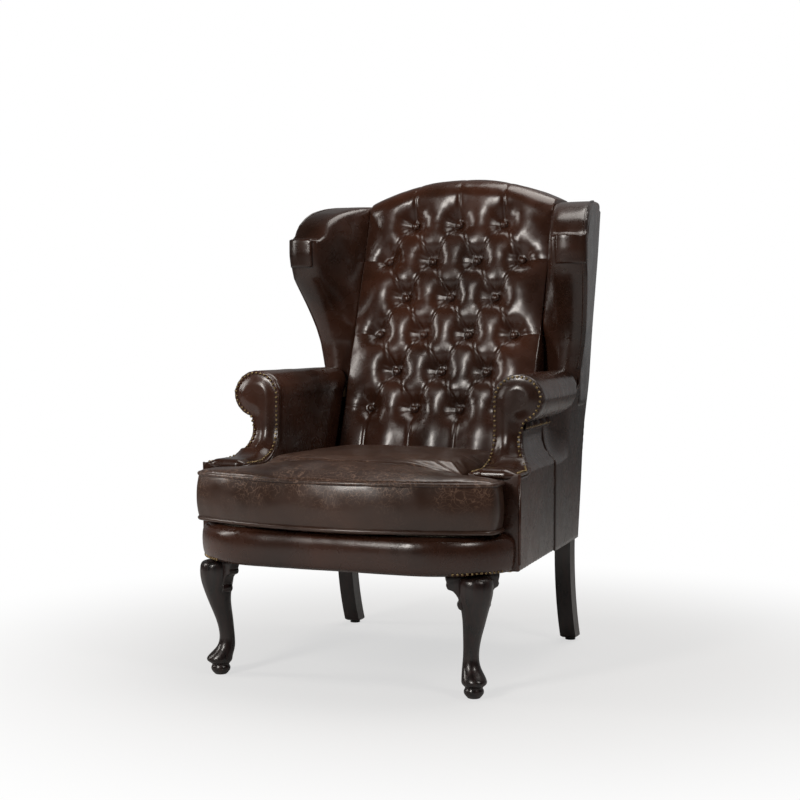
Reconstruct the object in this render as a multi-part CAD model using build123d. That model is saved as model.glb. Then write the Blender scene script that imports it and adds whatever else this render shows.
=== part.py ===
"""Button-backed leather wing chair with cabriole front legs and a loose T-shaped seat cushion.

Millimetres, +Z up. The chair faces -Y, and +X is on the right as seen from the front.
Pieces named right lie at +X. Their left partners are mirrored.
"""
import os
from math import atan2, cos, degrees, hypot, pi, radians, sin, sqrt, tan

from build123d import *

# Driving dimensions of the whole chair
overall_height = 1100.0
seat_front_y = -403.0
seat_rear_y = 318.0
seat_front_half_width = 378.0
seat_taper = 70.0
seat_rear_half_width = seat_front_half_width - seat_taper
arm_thickness = 125.0
arm_inner_x = seat_front_half_width - arm_thickness
seat_corner_radius = 190.0
rail_bottom_z = 250.0
rail_height = 66.0
rail_thickness = 28.0
outside_back_rake = 11.7
inside_back_recline = 18.0
inside_back_foot_y = 103.4

# Clearances and leather
soft_gap = 0.3
arc_facets = 6
head_facets = 9
roll_facets = 4
leather = 4.0
overrun = 60.0

# Front border, a padded roll round the front of the seat frame
border_thickness = 24.0
border_height = 80.0
border_top_round = 22.0
border_bottom_round = 14.0

# Arms
post_setback = 145.5
post_front_y = seat_front_y + post_setback
arm_foot_z = 450.0
arm_sweep_radius = 75.0
arm_head_setback = 286.0
arm_head_front_y = seat_front_y + arm_head_setback
arm_top_z = 647.0
head_spring_z = 588.0
head_outer_z = 600.0
head_overhang = 17.0
curl_overhang = 3.0
curl_z = 560.0
curl_end_inset = 28.0
curl_end_z = 543.0
neck_inset = 30.0
neck_z = 515.0
hip_inset = 22.0
hip_z = 476.0
facing_thickness = 7.0
facing_foot_depth = 8.0
inside_arm_thickness = 37.0
post_padding = 8.0
post_depth_y = 47.0
arm_rail_bottom_z = 572.0
arm_rail_height = 24.0
arm_rail_inset = 12.0
tacking_rail_bottom_z = 345.0
tacking_rail_height = 22.0
tacking_rail_width = 20.0
side_seam_y = 80.0
gimp_height = 22.0
gimp_thickness = 3.0
gimp_rear_y = 190.0
post_piping_radius = 3.0

# Back
back_crease = 17.0
back_half_width = arm_inner_x - back_crease
crest_overhang = 9.0
crest_half_width = back_half_width + crest_overhang
crest_drop = 59.0
crest_round = 52.0
crest_rear_round = 36.0
crest_hook_drop = 70.0
crest_hook_z = overall_height - crest_hook_drop
back_cover_depth = 12.0
back_cover_foot_z = 345.0
upright_inset = 8.0
upright_width = 38.0
upright_outer_x = seat_rear_half_width - upright_inset
upright_inner_x = upright_outer_x - upright_width
upright_thickness = 32.0
upright_skin = 6.0
upright_drop = 172.0
upright_top_z = overall_height - upright_drop
top_rail_inset = 40.0
lower_rail_bottom_z = 345.0
lower_rail_height = 50.0
back_strap_thickness = 2.5

# Diamond tufts of the inside back
tuft_row_drop = 113.0
tuft_top_row_z = overall_height - tuft_row_drop
tuft_bottom_row_z = 549.5
button_rows = 6
tuft_rows = button_rows + 1
tuft_row_pitch_z = (tuft_top_row_z - tuft_bottom_row_z) / (button_rows - 1)
tuft_column_share = 0.483
tuft_column_pitch = back_half_width * tuft_column_share
puff_depth = 28.0
valley_rise = 5.0
pleat_drop = 2.0
crest_pleat_count = 3
side_pleat_count = 5
button_radius = 9.0
button_height = 6.0
button_facets = 10
button_sink_radius = 24.0

# Wings. The shares give each level's rise, forward sweep, outward flare, roll width and roundness.
arm_junction_z = 646.0
wing_front_y = 178.0
wing_inset = 9.0
wing_half_width = seat_front_half_width - wing_inset
wing_flare = 44.0
wing_foot_half_width = wing_half_width - wing_flare
wing_rear_overhang = 1.0
wing_rear_half_width = seat_rear_half_width + wing_rear_overhang
wing_foot_roll = 66.0
wing_foot_roundness = 1.0
wing_roll_width = 90.0
wing_roll_roundness = 37.0
wing_level_shares = (
    (0.136, 1.0, 0.205, 0.778, 0.649),
    (0.313, 0.794, 0.5, 0.844, 0.811),
    (0.540, 0.176, 0.932, 0.956, 0.946),
    (0.667, 0.0, 1.0, 1.0, 1.0),
)
wing_setback = 14.0
wing_inner_gap = 1.0
wing_crease_lead = 5.0
wing_drop = 58.0
wing_crest_z = overall_height - wing_drop
wing_nose_drop = 30.0
wing_front_top_z = wing_crest_z - wing_nose_drop
wing_top_round = 62.0
wing_edge_bevel = 9.0
wing_frame_thickness = 22.0
wing_frame_inset = 10.0
wing_frame_front_inset = 40.0
wing_frame_top_inset = 34.0
wing_strap_thickness = 2.5
wing_strap_drop = 60.0
wing_strap_height = 66.0
wing_strap_top_z = wing_front_top_z - wing_strap_drop
wing_strap_bottom_z = wing_strap_top_z - wing_strap_height
wing_strap_depth_y = 62.0

# Loose seat cushion
cushion_height = 104.0
cushion_crown = 34.0
cushion_edge_rise = 2.0
side_crown_share = 0.55
cushion_ear_inset = 38.0
cushion_ear_half_width = seat_front_half_width - cushion_ear_inset
cushion_overhang = 19.0
cushion_front_y = seat_front_y - cushion_overhang
cushion_bow = 84.0
cushion_ear_front_y = cushion_front_y + cushion_bow
cushion_side_gap = 8.0
cushion_body_half_width = arm_inner_x - cushion_side_gap
cushion_gap = 3.0
cushion_corner_round = 16.0
cushion_throat_round = 8.0
cushion_filling_inset = 14.0
piping_radius = 4.5
piping_sides = 6

# Seat support
strap_thickness = 2.5
strap_width = 50.0
seat_strap_count = 6
cross_strap_count = 3
deck_pad_thickness = 10.0
deck_cover_thickness = 2.0
deck_edge_gap = 2.0
dust_cover_thickness = 1.5
dust_cover_inset = 34.0

# Legs. The shares give each round's height, its swing out along the diagonal and its radius.
knee_radius = 36.0
leg_facets = 20
leg_swing = 13.0
leg_shares = (
    (1.0, 0.154, 1.0),
    (0.896, 0.385, 1.0),
    (0.752, 0.192, 0.861),
    (0.584, -0.385, 0.667),
    (0.416, -0.923, 0.5),
    (0.32, -1.0, 0.472),
    (0.232, -0.692, 0.542),
    (0.168, -0.077, 0.694),
    (0.128, 0.154, 0.75),
    (0.096, 0.077, 0.667),
)
bun_neck_z = 21.0
bun_neck_radius = 15.0
bun_radius = 21.5
bun_middle_z = 11.0
bun_sole_radius = 14.0
foot_inset_x = 87.0
foot_inset_y = 83.5
front_foot_x = seat_front_half_width - foot_inset_x
front_foot_y = seat_front_y + foot_inset_y
rear_leg_inset = 44.0
rear_leg_inner_x = seat_rear_half_width - rear_leg_inset
rear_leg_width = 38.0
rear_leg_depth = 36.0
rear_leg_kick = 48.0
kick_share = 0.25
kick_height_share = 0.45
rear_leg_chamfer = 4.0
glide_height = 6.0
glide_radius = 12.0
bolt_radius = 4.0
bolt_clearance = 0.15
bolt_depth_in_leg = 60.0
bolt_depth_in_rail = 25.0
bolt_inset = 18.0
bracket_reach = 40.0
bracket_drop = 68.0
bracket_thickness = 22.0
bracket_waist_share = 0.42
bracket_toe_share = 0.2
bracket_knob_radius = 6.0
knob_facets = 10
corner_block_leg = 62.0
corner_block_height = 44.0
dowel_radius = 5.0
dowel_length = 44.0
dowel_clearance = 0.1

rail_top_z = rail_bottom_z + rail_height
strap_top_z = rail_top_z + 2 * strap_thickness
deck_pad_top_z = strap_top_z + soft_gap + deck_pad_thickness
deck_top_z = deck_pad_top_z + deck_cover_thickness
arm_base_z = deck_top_z + soft_gap

diagonal = sqrt(0.5)

pieces = {}


def outline(*curves):
    """Flat face inside a closed chain of curves."""
    edges = []
    for curve in curves:
        edges += curve.edges()
    return make_face(edges)


def arc_points(start, middle, end, facets=arc_facets):
    """Points evenly spaced along the arc through three points."""
    arc = ThreePointArc(start, middle, end)
    return [tuple(arc.position_at(number / facets)) for number in range(facets + 1)]


def faceted_arc(start, middle, end, facets=arc_facets):
    """Arc through three points, drawn as short straight runs."""
    return Polyline(*arc_points(start, middle, end, facets))


def skinned(rings):
    """Solid with flat facets between closed rings of points that all have the same number of corners."""
    faces = [Face(Wire.make_polygon(rings[0])), Face(Wire.make_polygon(rings[-1]))]
    for low, high in zip(rings, rings[1:]):
        for number in range(len(low)):
            before = number - 1
            faces.append(Face(Wire.make_polygon((low[before], low[number], high[number]))))
            faces.append(Face(Wire.make_polygon((low[before], high[number], high[before]))))
    return Part() + Solid(Shell(faces))


def at_height(points, z):
    """Points of a plan, lifted to height z."""
    return [(point[0], point[1], z) for point in points]


def along_x(profile, start, end):
    """Profile drawn in (Y, Z), carried from X = start to X = end."""
    return extrude(Plane.YZ.offset(start) * profile, amount=end - start, dir=(1, 0, 0))


def along_y(profile, start, end):
    """Profile drawn in (X, Z), carried from Y = start to Y = end."""
    return extrude(Plane.XZ.offset(-start) * profile, amount=end - start, dir=(0, 1, 0))


def along_z(profile, start, end):
    """Profile drawn in (X, Y), carried from Z = start to Z = end."""
    return extrude(Plane.XY.offset(start) * profile, amount=end - start, dir=(0, 0, 1))


def block(x_start, x_end, y_start, y_end, z_start, z_end):
    """Rectangular block between two corners."""
    corners = ((x_start, y_start), (x_end, y_start), (x_end, y_end), (x_start, y_end))
    return along_z(Polygon(*corners, align=None), z_start, z_end)


def keep_pair(name, right_piece):
    """Store a piece of the right side and its mirrored partner."""
    pieces[name + "_right"] = right_piece
    pieces[name + "_left"] = mirror(right_piece, about=Plane.YZ)


def side_x(y):
    """Outer face of the side of the chair at depth y."""
    taper = (seat_front_half_width - seat_rear_half_width) / (seat_rear_y - seat_front_y)
    return seat_front_half_width - taper * (y - seat_front_y)


def outside_back_y(z):
    """Outer face of the back at height z."""
    return seat_rear_y + (z - rail_bottom_z) * tan(radians(outside_back_rake))


def button_plane_y(z):
    """Plane through the button seats of the inside back at height z."""
    return inside_back_foot_y + (z - rail_bottom_z) * tan(radians(inside_back_recline))


def puff_plane_y(z):
    """Foremost plane of the tufts at height z."""
    return button_plane_y(z) - puff_depth / cos(radians(inside_back_recline))


def seat_plan(inset):
    """Plan of the seat, drawn in from the outer face of the leather."""
    front = seat_front_y + inset
    front_x = side_x(front) - inset
    rear_x = side_x(seat_rear_y) - inset
    corners = ((-front_x, front), (front_x, front), (rear_x, seat_rear_y), (-rear_x, seat_rear_y))
    plan = Polygon(*corners, align=None)
    front_corners = plan.vertices().sort_by(Axis.Y)[:2]
    return fillet(front_corners, seat_corner_radius - inset)


def raked_slab(x_start, x_end, z_low, z_high, skin, thickness):
    """Slab parallel to the outside back, set in from it by a skin."""
    profile = Polygon(
        (outside_back_y(z_low) - skin - thickness, z_low),
        (outside_back_y(z_low) - skin, z_low),
        (outside_back_y(z_high) - skin, z_high),
        (outside_back_y(z_high) - skin - thickness, z_high),
        align=None,
    )
    return along_x(profile, x_start, x_end)


def crest_outline(half_width, inset, z_bottom):
    """Front view of the back under its arched crest."""
    crest_radius = (crest_half_width**2 + crest_drop**2) / (2 * crest_drop)
    centre_z = overall_height - crest_radius
    radius = crest_radius - inset
    edge_z = centre_z + sqrt(radius**2 - half_width**2)
    left = (-half_width, edge_z)
    right = (half_width, edge_z)
    return outline(
        Polyline(left, (-half_width, z_bottom), (half_width, z_bottom), right),
        ThreePointArc(right, (0, centre_z + radius), left),
    )


# Seat frame. The front rail is sawn to the rounded plan of the seat. The side rails taper to the back rail.
far_x = 2 * seat_front_half_width
front_of_posts = block(-far_x, far_x, seat_front_y - overrun, post_front_y, 0, overall_height)
behind_post_face = block(-far_x, far_x, post_front_y, outside_back_y(overall_height), 0, overall_height)
back_rail_zone = raked_slab(
    -far_x, far_x, rail_bottom_z - overrun, rail_top_z + overrun,
    -overrun, upright_skin + upright_thickness + overrun,
)

rail_band = seat_plan(border_thickness) - seat_plan(border_thickness + rail_thickness)
front_rail = along_z(rail_band, rail_bottom_z, rail_top_z) & front_of_posts
side_band = seat_plan(post_padding) - seat_plan(post_padding + rail_thickness)
side_rails = along_z(side_band, rail_bottom_z, rail_top_z) & behind_post_face - back_rail_zone
side_rail = side_rails & block(0, far_x, post_front_y, seat_rear_y, 0, overall_height)
back_rail = raked_slab(-far_x, far_x, rail_bottom_z, rail_top_z, upright_skin, upright_thickness)
rear_width = 2 * (side_x(seat_rear_y) - post_padding)
back_rail_plan = seat_plan(post_padding) + Pos(0, seat_rear_y) * Rectangle(rear_width, upright_thickness)
back_rail &= along_z(back_rail_plan, rail_bottom_z, rail_top_z)

# Corner blocks, glued across the inside of each corner
block_z = rail_top_z - corner_block_height
rear_inner_y = outside_back_y(rail_bottom_z) - upright_skin - upright_thickness
inner_x_rear = side_x(rear_inner_y) - post_padding - rail_thickness
rear_block_front_y = rear_inner_y - corner_block_leg
rear_block_plan = Polygon(
    (inner_x_rear, rear_inner_y),
    (inner_x_rear - corner_block_leg, rear_inner_y),
    (side_x(rear_block_front_y) - post_padding - rail_thickness, rear_block_front_y),
    align=None,
)
inner_inset = border_thickness + rail_thickness
inner_front_y = seat_front_y + inner_inset
round_cut = (seat_corner_radius - inner_inset) * (1 - diagonal)
front_block_seat = Pos(side_x(inner_front_y) - inner_inset - round_cut, inner_front_y + round_cut, 0)
front_block_plan = seat_plan(inner_inset) & front_block_seat * Rot(0, 0, -45) * Rectangle(
    corner_block_leg, 2 * corner_block_leg)
right_blocks = along_z(rear_block_plan, block_z, rail_top_z)
right_blocks += along_z(front_block_plan, block_z, rail_top_z)

# Back frame: two raked uprights, an arched top rail and a lower rail
upright = raked_slab(
    upright_inner_x, upright_outer_x, rail_top_z, upright_top_z, upright_skin, upright_thickness
)
top_rail = raked_slab(
    -upright_outer_x, upright_outer_x, upright_top_z, overall_height, upright_skin, upright_thickness
) & along_y(crest_outline(upright_outer_x, top_rail_inset, upright_top_z), 0, far_x)
lower_back_rail = raked_slab(
    -upright_inner_x, upright_inner_x, lower_rail_bottom_z, lower_rail_bottom_z + lower_rail_height,
    upright_skin, upright_thickness,
)


def arm_section(y, inset):
    """Section of the arm across the chair: straight inside, rolled head, neck and outside."""
    inner = arm_inner_x + inset
    outer = side_x(y) - inset
    head_x = outer + head_overhang
    head_mid_x = (inner + head_x) / 2
    head_end = (head_x, head_outer_z)
    curl_end = (outer - curl_end_inset, curl_end_z)
    head = arc_points((inner, head_spring_z), (head_mid_x, arm_top_z - inset), head_end, head_facets)
    curl = arc_points(head_end, (outer + curl_overhang, curl_z), curl_end)
    neck = (outer - neck_inset, neck_z)
    hip = arc_points(neck, (outer - hip_inset, hip_z), (outer, arm_foot_z), roll_facets)
    section = [(inner, rail_bottom_z)] + head + curl[1:] + hip + [(outer, rail_bottom_z)]
    return [(point[0], y, point[1]) for point in section]


def arm_side_view(inset, rear_gap):
    """Side view of the arm: upright head, forward sweep to the foot, post front, reclined rear."""
    high_z = arm_top_z + overrun
    front = post_front_y + inset
    foot_z = arm_foot_z - inset
    head_y = arm_head_front_y + inset
    view = Polygon(
        (front, rail_bottom_z),
        (button_plane_y(rail_bottom_z) + wing_setback - rear_gap, rail_bottom_z),
        (button_plane_y(high_z) + wing_setback - rear_gap, high_z),
        (head_y, high_z),
        (head_y, foot_z),
        (front, foot_z),
        align=None,
    )
    corner = view.vertices().sort_by_distance((head_y, foot_z, 0))[0]
    return fillet(corner, arm_sweep_radius + inset)


# The wing and the side of the back share one form, drawn as plans at several heights.
# Each level gives the height, front edge, outer front corner, width of the front roll and its roundness.
foot_front_y = button_plane_y(rail_bottom_z) + wing_setback
junction_front_y = button_plane_y(arm_junction_z) + wing_setback
wing_base_half_width = side_x(foot_front_y - wing_setback)
wing_levels = [
    (rail_bottom_z, foot_front_y, wing_base_half_width, wing_foot_roll, wing_foot_roundness),
    (arm_junction_z, junction_front_y, wing_foot_half_width, wing_foot_roll, wing_foot_roundness),
]
for rise_share, sweep_share, flare_share, roll_share, round_share in wing_level_shares:
    wing_levels.append((
        arm_junction_z + (wing_crest_z - arm_junction_z) * rise_share,
        wing_front_y + (junction_front_y - wing_front_y) * sweep_share,
        wing_foot_half_width + (wing_half_width - wing_foot_half_width) * flare_share,
        wing_roll_width * roll_share,
        wing_roll_roundness * round_share,
    ))
wing_levels.append(
    (wing_crest_z + overrun, wing_front_y, wing_half_width, wing_roll_width, wing_roll_roundness)
)


def wing_plan(level):
    """Plan of the wing at one height, from the crease beside the tufts round the front roll to the rear."""
    z, front_y, outer_x, roll_width, roundness = level
    inner_x = back_half_width + wing_inner_gap
    rear_y = outside_back_y(z) - leather - soft_gap
    roll_inner_x = outer_x - roll_width
    roll_mid_x = outer_x - roll_width / 2
    crease_y = button_plane_y(z) - wing_crease_lead
    start_y = front_y + roundness
    roll = arc_points((roll_inner_x, start_y), (roll_mid_x, front_y), (outer_x, start_y))
    corners = [(wing_rear_half_width, rear_y), (inner_x, rear_y), (inner_x, max(crease_y, start_y))]
    return at_height(corners + roll, z)


wing_nose = (wing_levels[-1][1] - soft_gap, wing_front_top_z)
wing_side_view = Polygon(
    (wing_nose[0], arm_junction_z),
    (wing_levels[0][1] - overrun, arm_junction_z),
    (wing_levels[0][1] - overrun, rail_bottom_z - overrun),
    (outside_back_y(wing_crest_z) + overrun, rail_bottom_z - overrun),
    (outside_back_y(wing_crest_z) + overrun, wing_crest_z),
    (outside_back_y(wing_crest_z), wing_crest_z),
    wing_nose,
    align=None,
)
wing_top_corner = wing_side_view.vertices().sort_by_distance((*wing_nose, 0))[0]
wing_side_view = fillet(wing_top_corner, wing_top_round)
wing_form = skinned([wing_plan(level) for level in wing_levels])
wing_form &= along_x(wing_side_view, 0, far_x)


def wing_edge_ring(y):
    """Triangle cut from the wing's outer top edge at depth y."""
    rear_y = outside_back_y(wing_crest_z)
    x_share = (y - wing_front_y - wing_roll_roundness) / (rear_y - wing_front_y - wing_roll_roundness)
    z_share = (y - wing_nose[0]) / (rear_y - wing_nose[0])
    x = wing_half_width - (wing_half_width - wing_rear_half_width) * x_share
    z = wing_front_top_z + (wing_crest_z - wing_front_top_z) * z_share
    low = z - 2 * wing_edge_bevel
    high = z + wing_edge_bevel
    wide = x + wing_edge_bevel
    return ((wide, y, low), (wide, y, high), (x - 2 * wing_edge_bevel, y, high))


wing_form -= skinned([wing_edge_ring(y) for y in (wing_front_y, outside_back_y(wing_crest_z) + overrun)])

# Arm form, and the frame inside it
arm_form = skinned([arm_section(post_front_y, 0), arm_section(outside_back_y(arm_top_z), 0)])
arm_shape = arm_form & along_x(arm_side_view(0, soft_gap), 0, far_x)
post_form = skinned([arm_section(y, post_padding) for y in (post_front_y, outside_back_y(arm_top_z))])
arm_post = post_form & along_x(arm_side_view(post_padding, soft_gap), 0, far_x)
arm_post &= block(0, far_x, post_front_y, arm_head_front_y + post_depth_y, rail_top_z, arm_top_z)

post_rear_y = arm_head_front_y + post_depth_y
arm_rail_rear_y = outside_back_y(arm_rail_bottom_z) - upright_skin - upright_thickness
arm_rail_plan = Polygon(
    (arm_inner_x + arm_rail_inset, post_rear_y),
    (side_x(post_rear_y) - arm_rail_inset, post_rear_y),
    (side_x(arm_rail_rear_y) - arm_rail_inset, arm_rail_rear_y),
    (arm_inner_x + arm_rail_inset, arm_rail_rear_y),
    align=None,
)
arm_rail = along_z(arm_rail_plan, arm_rail_bottom_z, arm_rail_bottom_z + arm_rail_height)
tacking_rear_y = outside_back_y(tacking_rail_bottom_z) - upright_skin - upright_thickness
tacking_plan = Polygon(
    (side_x(post_rear_y) - arm_rail_inset - tacking_rail_width, post_rear_y),
    (side_x(post_rear_y) - arm_rail_inset, post_rear_y),
    (side_x(tacking_rear_y) - arm_rail_inset, tacking_rear_y),
    (side_x(tacking_rear_y) - arm_rail_inset - tacking_rail_width, tacking_rear_y),
    align=None,
)
tacking_rail = along_z(tacking_plan, tacking_rail_bottom_z, tacking_rail_bottom_z + tacking_rail_height)


def wing_frame_plan(level):
    """Plan of the wing's board, set in from the outside of the wing."""
    z, front_y, outer_x, roll_width, roundness = level
    rear_y = outside_back_y(z) - upright_skin - upright_thickness
    front = front_y + wing_frame_front_inset
    reach = (front - front_y) / (outside_back_y(z) - front_y)
    front_x = outer_x - reach * (outer_x - wing_rear_half_width) - wing_frame_inset
    rear_x = wing_rear_half_width - wing_frame_inset
    corners = (
        (front_x - wing_frame_thickness, front),
        (front_x, front),
        (rear_x, rear_y),
        (rear_x - wing_frame_thickness, rear_y),
    )
    return at_height(corners, z)


arm_rail_top_z = arm_rail_bottom_z + arm_rail_height
wing_frame = skinned([wing_frame_plan(level) for level in wing_levels[1:]])
wing_frame &= block(0, far_x, 0, far_x, arm_junction_z, wing_front_top_z - wing_frame_top_inset)
wing_foot_level = (arm_rail_top_z,) + wing_levels[1][1:]
wing_foot = skinned([wing_frame_plan(wing_foot_level), wing_frame_plan(wing_levels[1])])
wing_frame += wing_foot

# Dowels of the frame's joints


def dowel(centre, direction, radius=dowel_radius):
    """Dowel centred on a joint."""
    return Plane(origin=centre, z_dir=direction) * Cylinder(radius, dowel_length)


upright_mid_x = (upright_inner_x + upright_outer_x) / 2


def upright_mid_y(z):
    """Middle of an upright's depth at height z."""
    return outside_back_y(z) - upright_skin - upright_thickness / 2


rail_mid_z = rail_bottom_z + rail_height / 2
lower_rail_mid_z = lower_rail_bottom_z + lower_rail_height / 2
side_rail_mid_inset = post_padding + rail_thickness / 2
back_joint_y = outside_back_y(rail_mid_z) - upright_skin - upright_thickness
dowel_places = (
    ((side_x(back_joint_y) - side_rail_mid_inset, back_joint_y, rail_mid_z), (0, 1, 0)),
    ((upright_mid_x, upright_mid_y(rail_top_z), rail_top_z), (0, 0, 1)),
    ((upright_mid_x, upright_mid_y(upright_top_z), upright_top_z), (0, 0, 1)),
    ((upright_inner_x, upright_mid_y(lower_rail_mid_z), lower_rail_mid_z), (1, 0, 0)),
    ((side_x(post_rear_y) - side_rail_mid_inset, (post_front_y + post_rear_y) / 2, rail_top_z), (0, 0, 1)),
    ((arm_inner_x + inside_arm_thickness, post_rear_y, arm_rail_bottom_z + arm_rail_height / 2), (0, 1, 0)),
)
right_dowels = [dowel(centre, direction) for centre, direction in dowel_places]
hole_radius = dowel_radius + dowel_clearance
right_holes = [dowel(centre, direction, hole_radius) for centre, direction in dowel_places]
dowels = Part() + right_dowels + [mirror(pin, about=Plane.YZ) for pin in right_dowels]
dowel_holes = Part() + right_holes + [mirror(pin, about=Plane.YZ) for pin in right_holes]

# Legs. A cabriole leg is lofted through rounds that swing out along the corner's diagonal.
leg_sections = [
    (rail_bottom_z * height_share, leg_swing * out_share, knee_radius * radius_share)
    for height_share, out_share, radius_share in leg_shares
]


def leg_ring(z, out, radius):
    """Round of the leg at height z, swung out along the corner's diagonal."""
    ring = []
    for number in range(leg_facets):
        turn = 2 * pi * number / leg_facets
        x = front_foot_x + out * diagonal + radius * cos(turn)
        ring.append((x, front_foot_y - out * diagonal + radius * sin(turn)))
    return at_height(ring, z)


swing = skinned([leg_ring(*section) for section in reversed(leg_sections)])
bun_profile = outline(
    Polyline((bun_sole_radius, 0), (0, 0), (0, leg_sections[-1][0]), (bun_neck_radius, leg_sections[-1][0])),
    Line((bun_neck_radius, leg_sections[-1][0]), (bun_neck_radius, bun_neck_z)),
    faceted_arc((bun_neck_radius, bun_neck_z), (bun_radius, bun_middle_z), (bun_sole_radius, 0)),
)
bun = Pos(front_foot_x, front_foot_y) * revolve(Plane.XZ * bun_profile, axis=Axis.Z)
front_leg = swing + bun
leg_top_x = front_foot_x + leg_sections[0][1] * diagonal
leg_top_y = front_foot_y - leg_sections[0][1] * diagonal

bracket_profile = outline(
    Polyline((0, -bracket_drop), (0, 0), (bracket_reach, 0), (bracket_reach, -bracket_knob_radius)),
    faceted_arc(
        (bracket_reach, -bracket_knob_radius),
        (bracket_reach * bracket_waist_share, -bracket_drop * bracket_waist_share),
        (bracket_reach * bracket_toe_share, -bracket_drop),
    ),
    Line((bracket_reach * bracket_toe_share, -bracket_drop), (0, -bracket_drop)),
)
knob = RegularPolygon(bracket_knob_radius, knob_facets)
toe_x = bracket_reach * bracket_toe_share
bracket_knobs = Pos(bracket_reach - bracket_knob_radius, -bracket_knob_radius * 2) * knob
bracket_knobs += Pos(toe_x + bracket_knob_radius / 2, -bracket_drop) * knob
bracket_face = bracket_profile + bracket_knobs
bracket_root = knee_radius * diagonal
inner_root = (leg_top_x - bracket_root, leg_top_y, rail_bottom_z)
rear_root = (leg_top_x, leg_top_y + bracket_root, rail_bottom_z)
inward = Plane(origin=inner_root, x_dir=(-1, 0, 0), z_dir=(0, 1, 0))
rearward = Plane(origin=rear_root, x_dir=(0, 1, 0), z_dir=(1, 0, 0))
brackets = []
for seat in (inward, rearward):
    ear = extrude(seat * bracket_face, amount=bracket_thickness / 2, both=True)
    ear = ear & block(-far_x, far_x, -far_x, far_x, 0, rail_bottom_z)
    brackets.append(ear - front_leg)
knee_brackets = Part() + brackets

rear_leg_outer_x = rear_leg_inner_x + rear_leg_width
rear_leg_front_y = seat_rear_y - rear_leg_depth
rear_leg_view = outline(
    Line((seat_rear_y, rail_bottom_z), (rear_leg_front_y, rail_bottom_z)),
    ThreePointArc(
        (rear_leg_front_y, rail_bottom_z),
        (rear_leg_front_y + rear_leg_kick * kick_share, rail_bottom_z * kick_height_share),
        (rear_leg_front_y + rear_leg_kick, glide_height),
    ),
    Line((rear_leg_front_y + rear_leg_kick, glide_height), (seat_rear_y + rear_leg_kick, glide_height)),
    ThreePointArc(
        (seat_rear_y + rear_leg_kick, glide_height),
        (seat_rear_y + rear_leg_kick * kick_share, rail_bottom_z * kick_height_share),
        (seat_rear_y, rail_bottom_z),
    ),
)
rear_leg = along_x(rear_leg_view, rear_leg_inner_x, rear_leg_outer_x)
rear_leg = chamfer(rear_leg.faces().sort_by(Axis.Z)[0].edges(), rear_leg_chamfer)
rear_leg_x = rear_leg_inner_x + rear_leg_width / 2
rear_foot_y = seat_rear_y + rear_leg_kick - rear_leg_depth / 2
glide = Pos(rear_leg_x, rear_foot_y, glide_height / 2) * Cylinder(glide_radius, glide_height)

front_bolt_x = leg_top_x - bolt_inset * diagonal
front_bolt_y = leg_top_y + bolt_inset * diagonal
bolt_places = ((front_bolt_x, front_bolt_y), (rear_leg_x, upright_mid_y(rail_bottom_z)))
bolt_low_z = rail_bottom_z - bolt_depth_in_leg
bolt_high_z = rail_bottom_z + bolt_depth_in_rail


def leg_bolt(place, radius):
    """Bolt from a leg up into the frame."""
    return along_z(Pos(*place) * Circle(radius), bolt_low_z, bolt_high_z)


right_bolts = [leg_bolt(place, bolt_radius) for place in bolt_places]
bolt_holes = Part() + [leg_bolt(place, bolt_radius + bolt_clearance) for place in bolt_places]
bolt_holes += mirror(bolt_holes, about=Plane.YZ)

# Front border, wrapped round the front rail
border = along_z(seat_plan(0), rail_bottom_z, rail_bottom_z + border_height)
border = fillet(border.faces().sort_by(Axis.Z)[-1].edges(), border_top_round)
border = fillet(border.faces().sort_by(Axis.Z)[0].edges(), border_bottom_round)
border &= front_of_posts
border -= along_z(seat_plan(border_thickness), 0, overall_height)

# Arm leather: facing, front of the post, outside panel, padded inside and rolled head
facing = arm_shape - along_x(arm_side_view(facing_thickness, 0), 0, far_x)
facing &= block(0, far_x, post_front_y - overrun, 0, arm_foot_z - facing_foot_depth, arm_top_z + overrun)
behind_facing = arm_shape & along_x(arm_side_view(facing_thickness + soft_gap, soft_gap), 0, far_x)
skin_core = Pos(-leather, 0, 0) * arm_form
outside_layer = (arm_shape - skin_core) & block(
    arm_inner_x + inside_arm_thickness, far_x, post_front_y, far_x, 0, curl_end_z)
outside_arm_cover = outside_layer & block(0, far_x, post_front_y, side_seam_y, 0, curl_end_z)
outside_arm_cover -= facing
front_cover_z = arm_foot_z - facing_foot_depth - soft_gap
arm_front_cover = (arm_shape & skin_core) & block(
    arm_inner_x, far_x, post_front_y, post_front_y + facing_thickness, arm_base_z, front_cover_z)
pad_zone = block(0, arm_inner_x + inside_arm_thickness, -far_x, far_x, arm_base_z, arm_top_z + overrun)
pad_zone += block(0, far_x, -far_x, far_x, curl_end_z + soft_gap, arm_top_z + overrun)
arm_pad = behind_facing & pad_zone
arm_pad -= arm_post
arm_pad -= arm_rail
arm_pad -= tacking_rail
gimp_front_y = arm_head_front_y + facing_thickness + soft_gap
gimp_plan = Polygon(
    (side_x(arm_head_front_y) - neck_inset, gimp_front_y),
    (side_x(arm_head_front_y) - neck_inset + 2 * gimp_thickness, gimp_front_y),
    (side_x(gimp_rear_y) - neck_inset + 2 * gimp_thickness, gimp_rear_y),
    (side_x(gimp_rear_y) - neck_inset, gimp_rear_y),
    align=None,
)
arm_gimp = along_z(gimp_plan, curl_end_z - gimp_height, curl_end_z) - arm_form
piping_x = side_x(post_front_y) + post_piping_radius
post_piping_right = along_z(
    Pos(piping_x, post_front_y) * Circle(post_piping_radius), rail_bottom_z + border_bottom_round, arm_foot_z
) - arm_form

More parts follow.
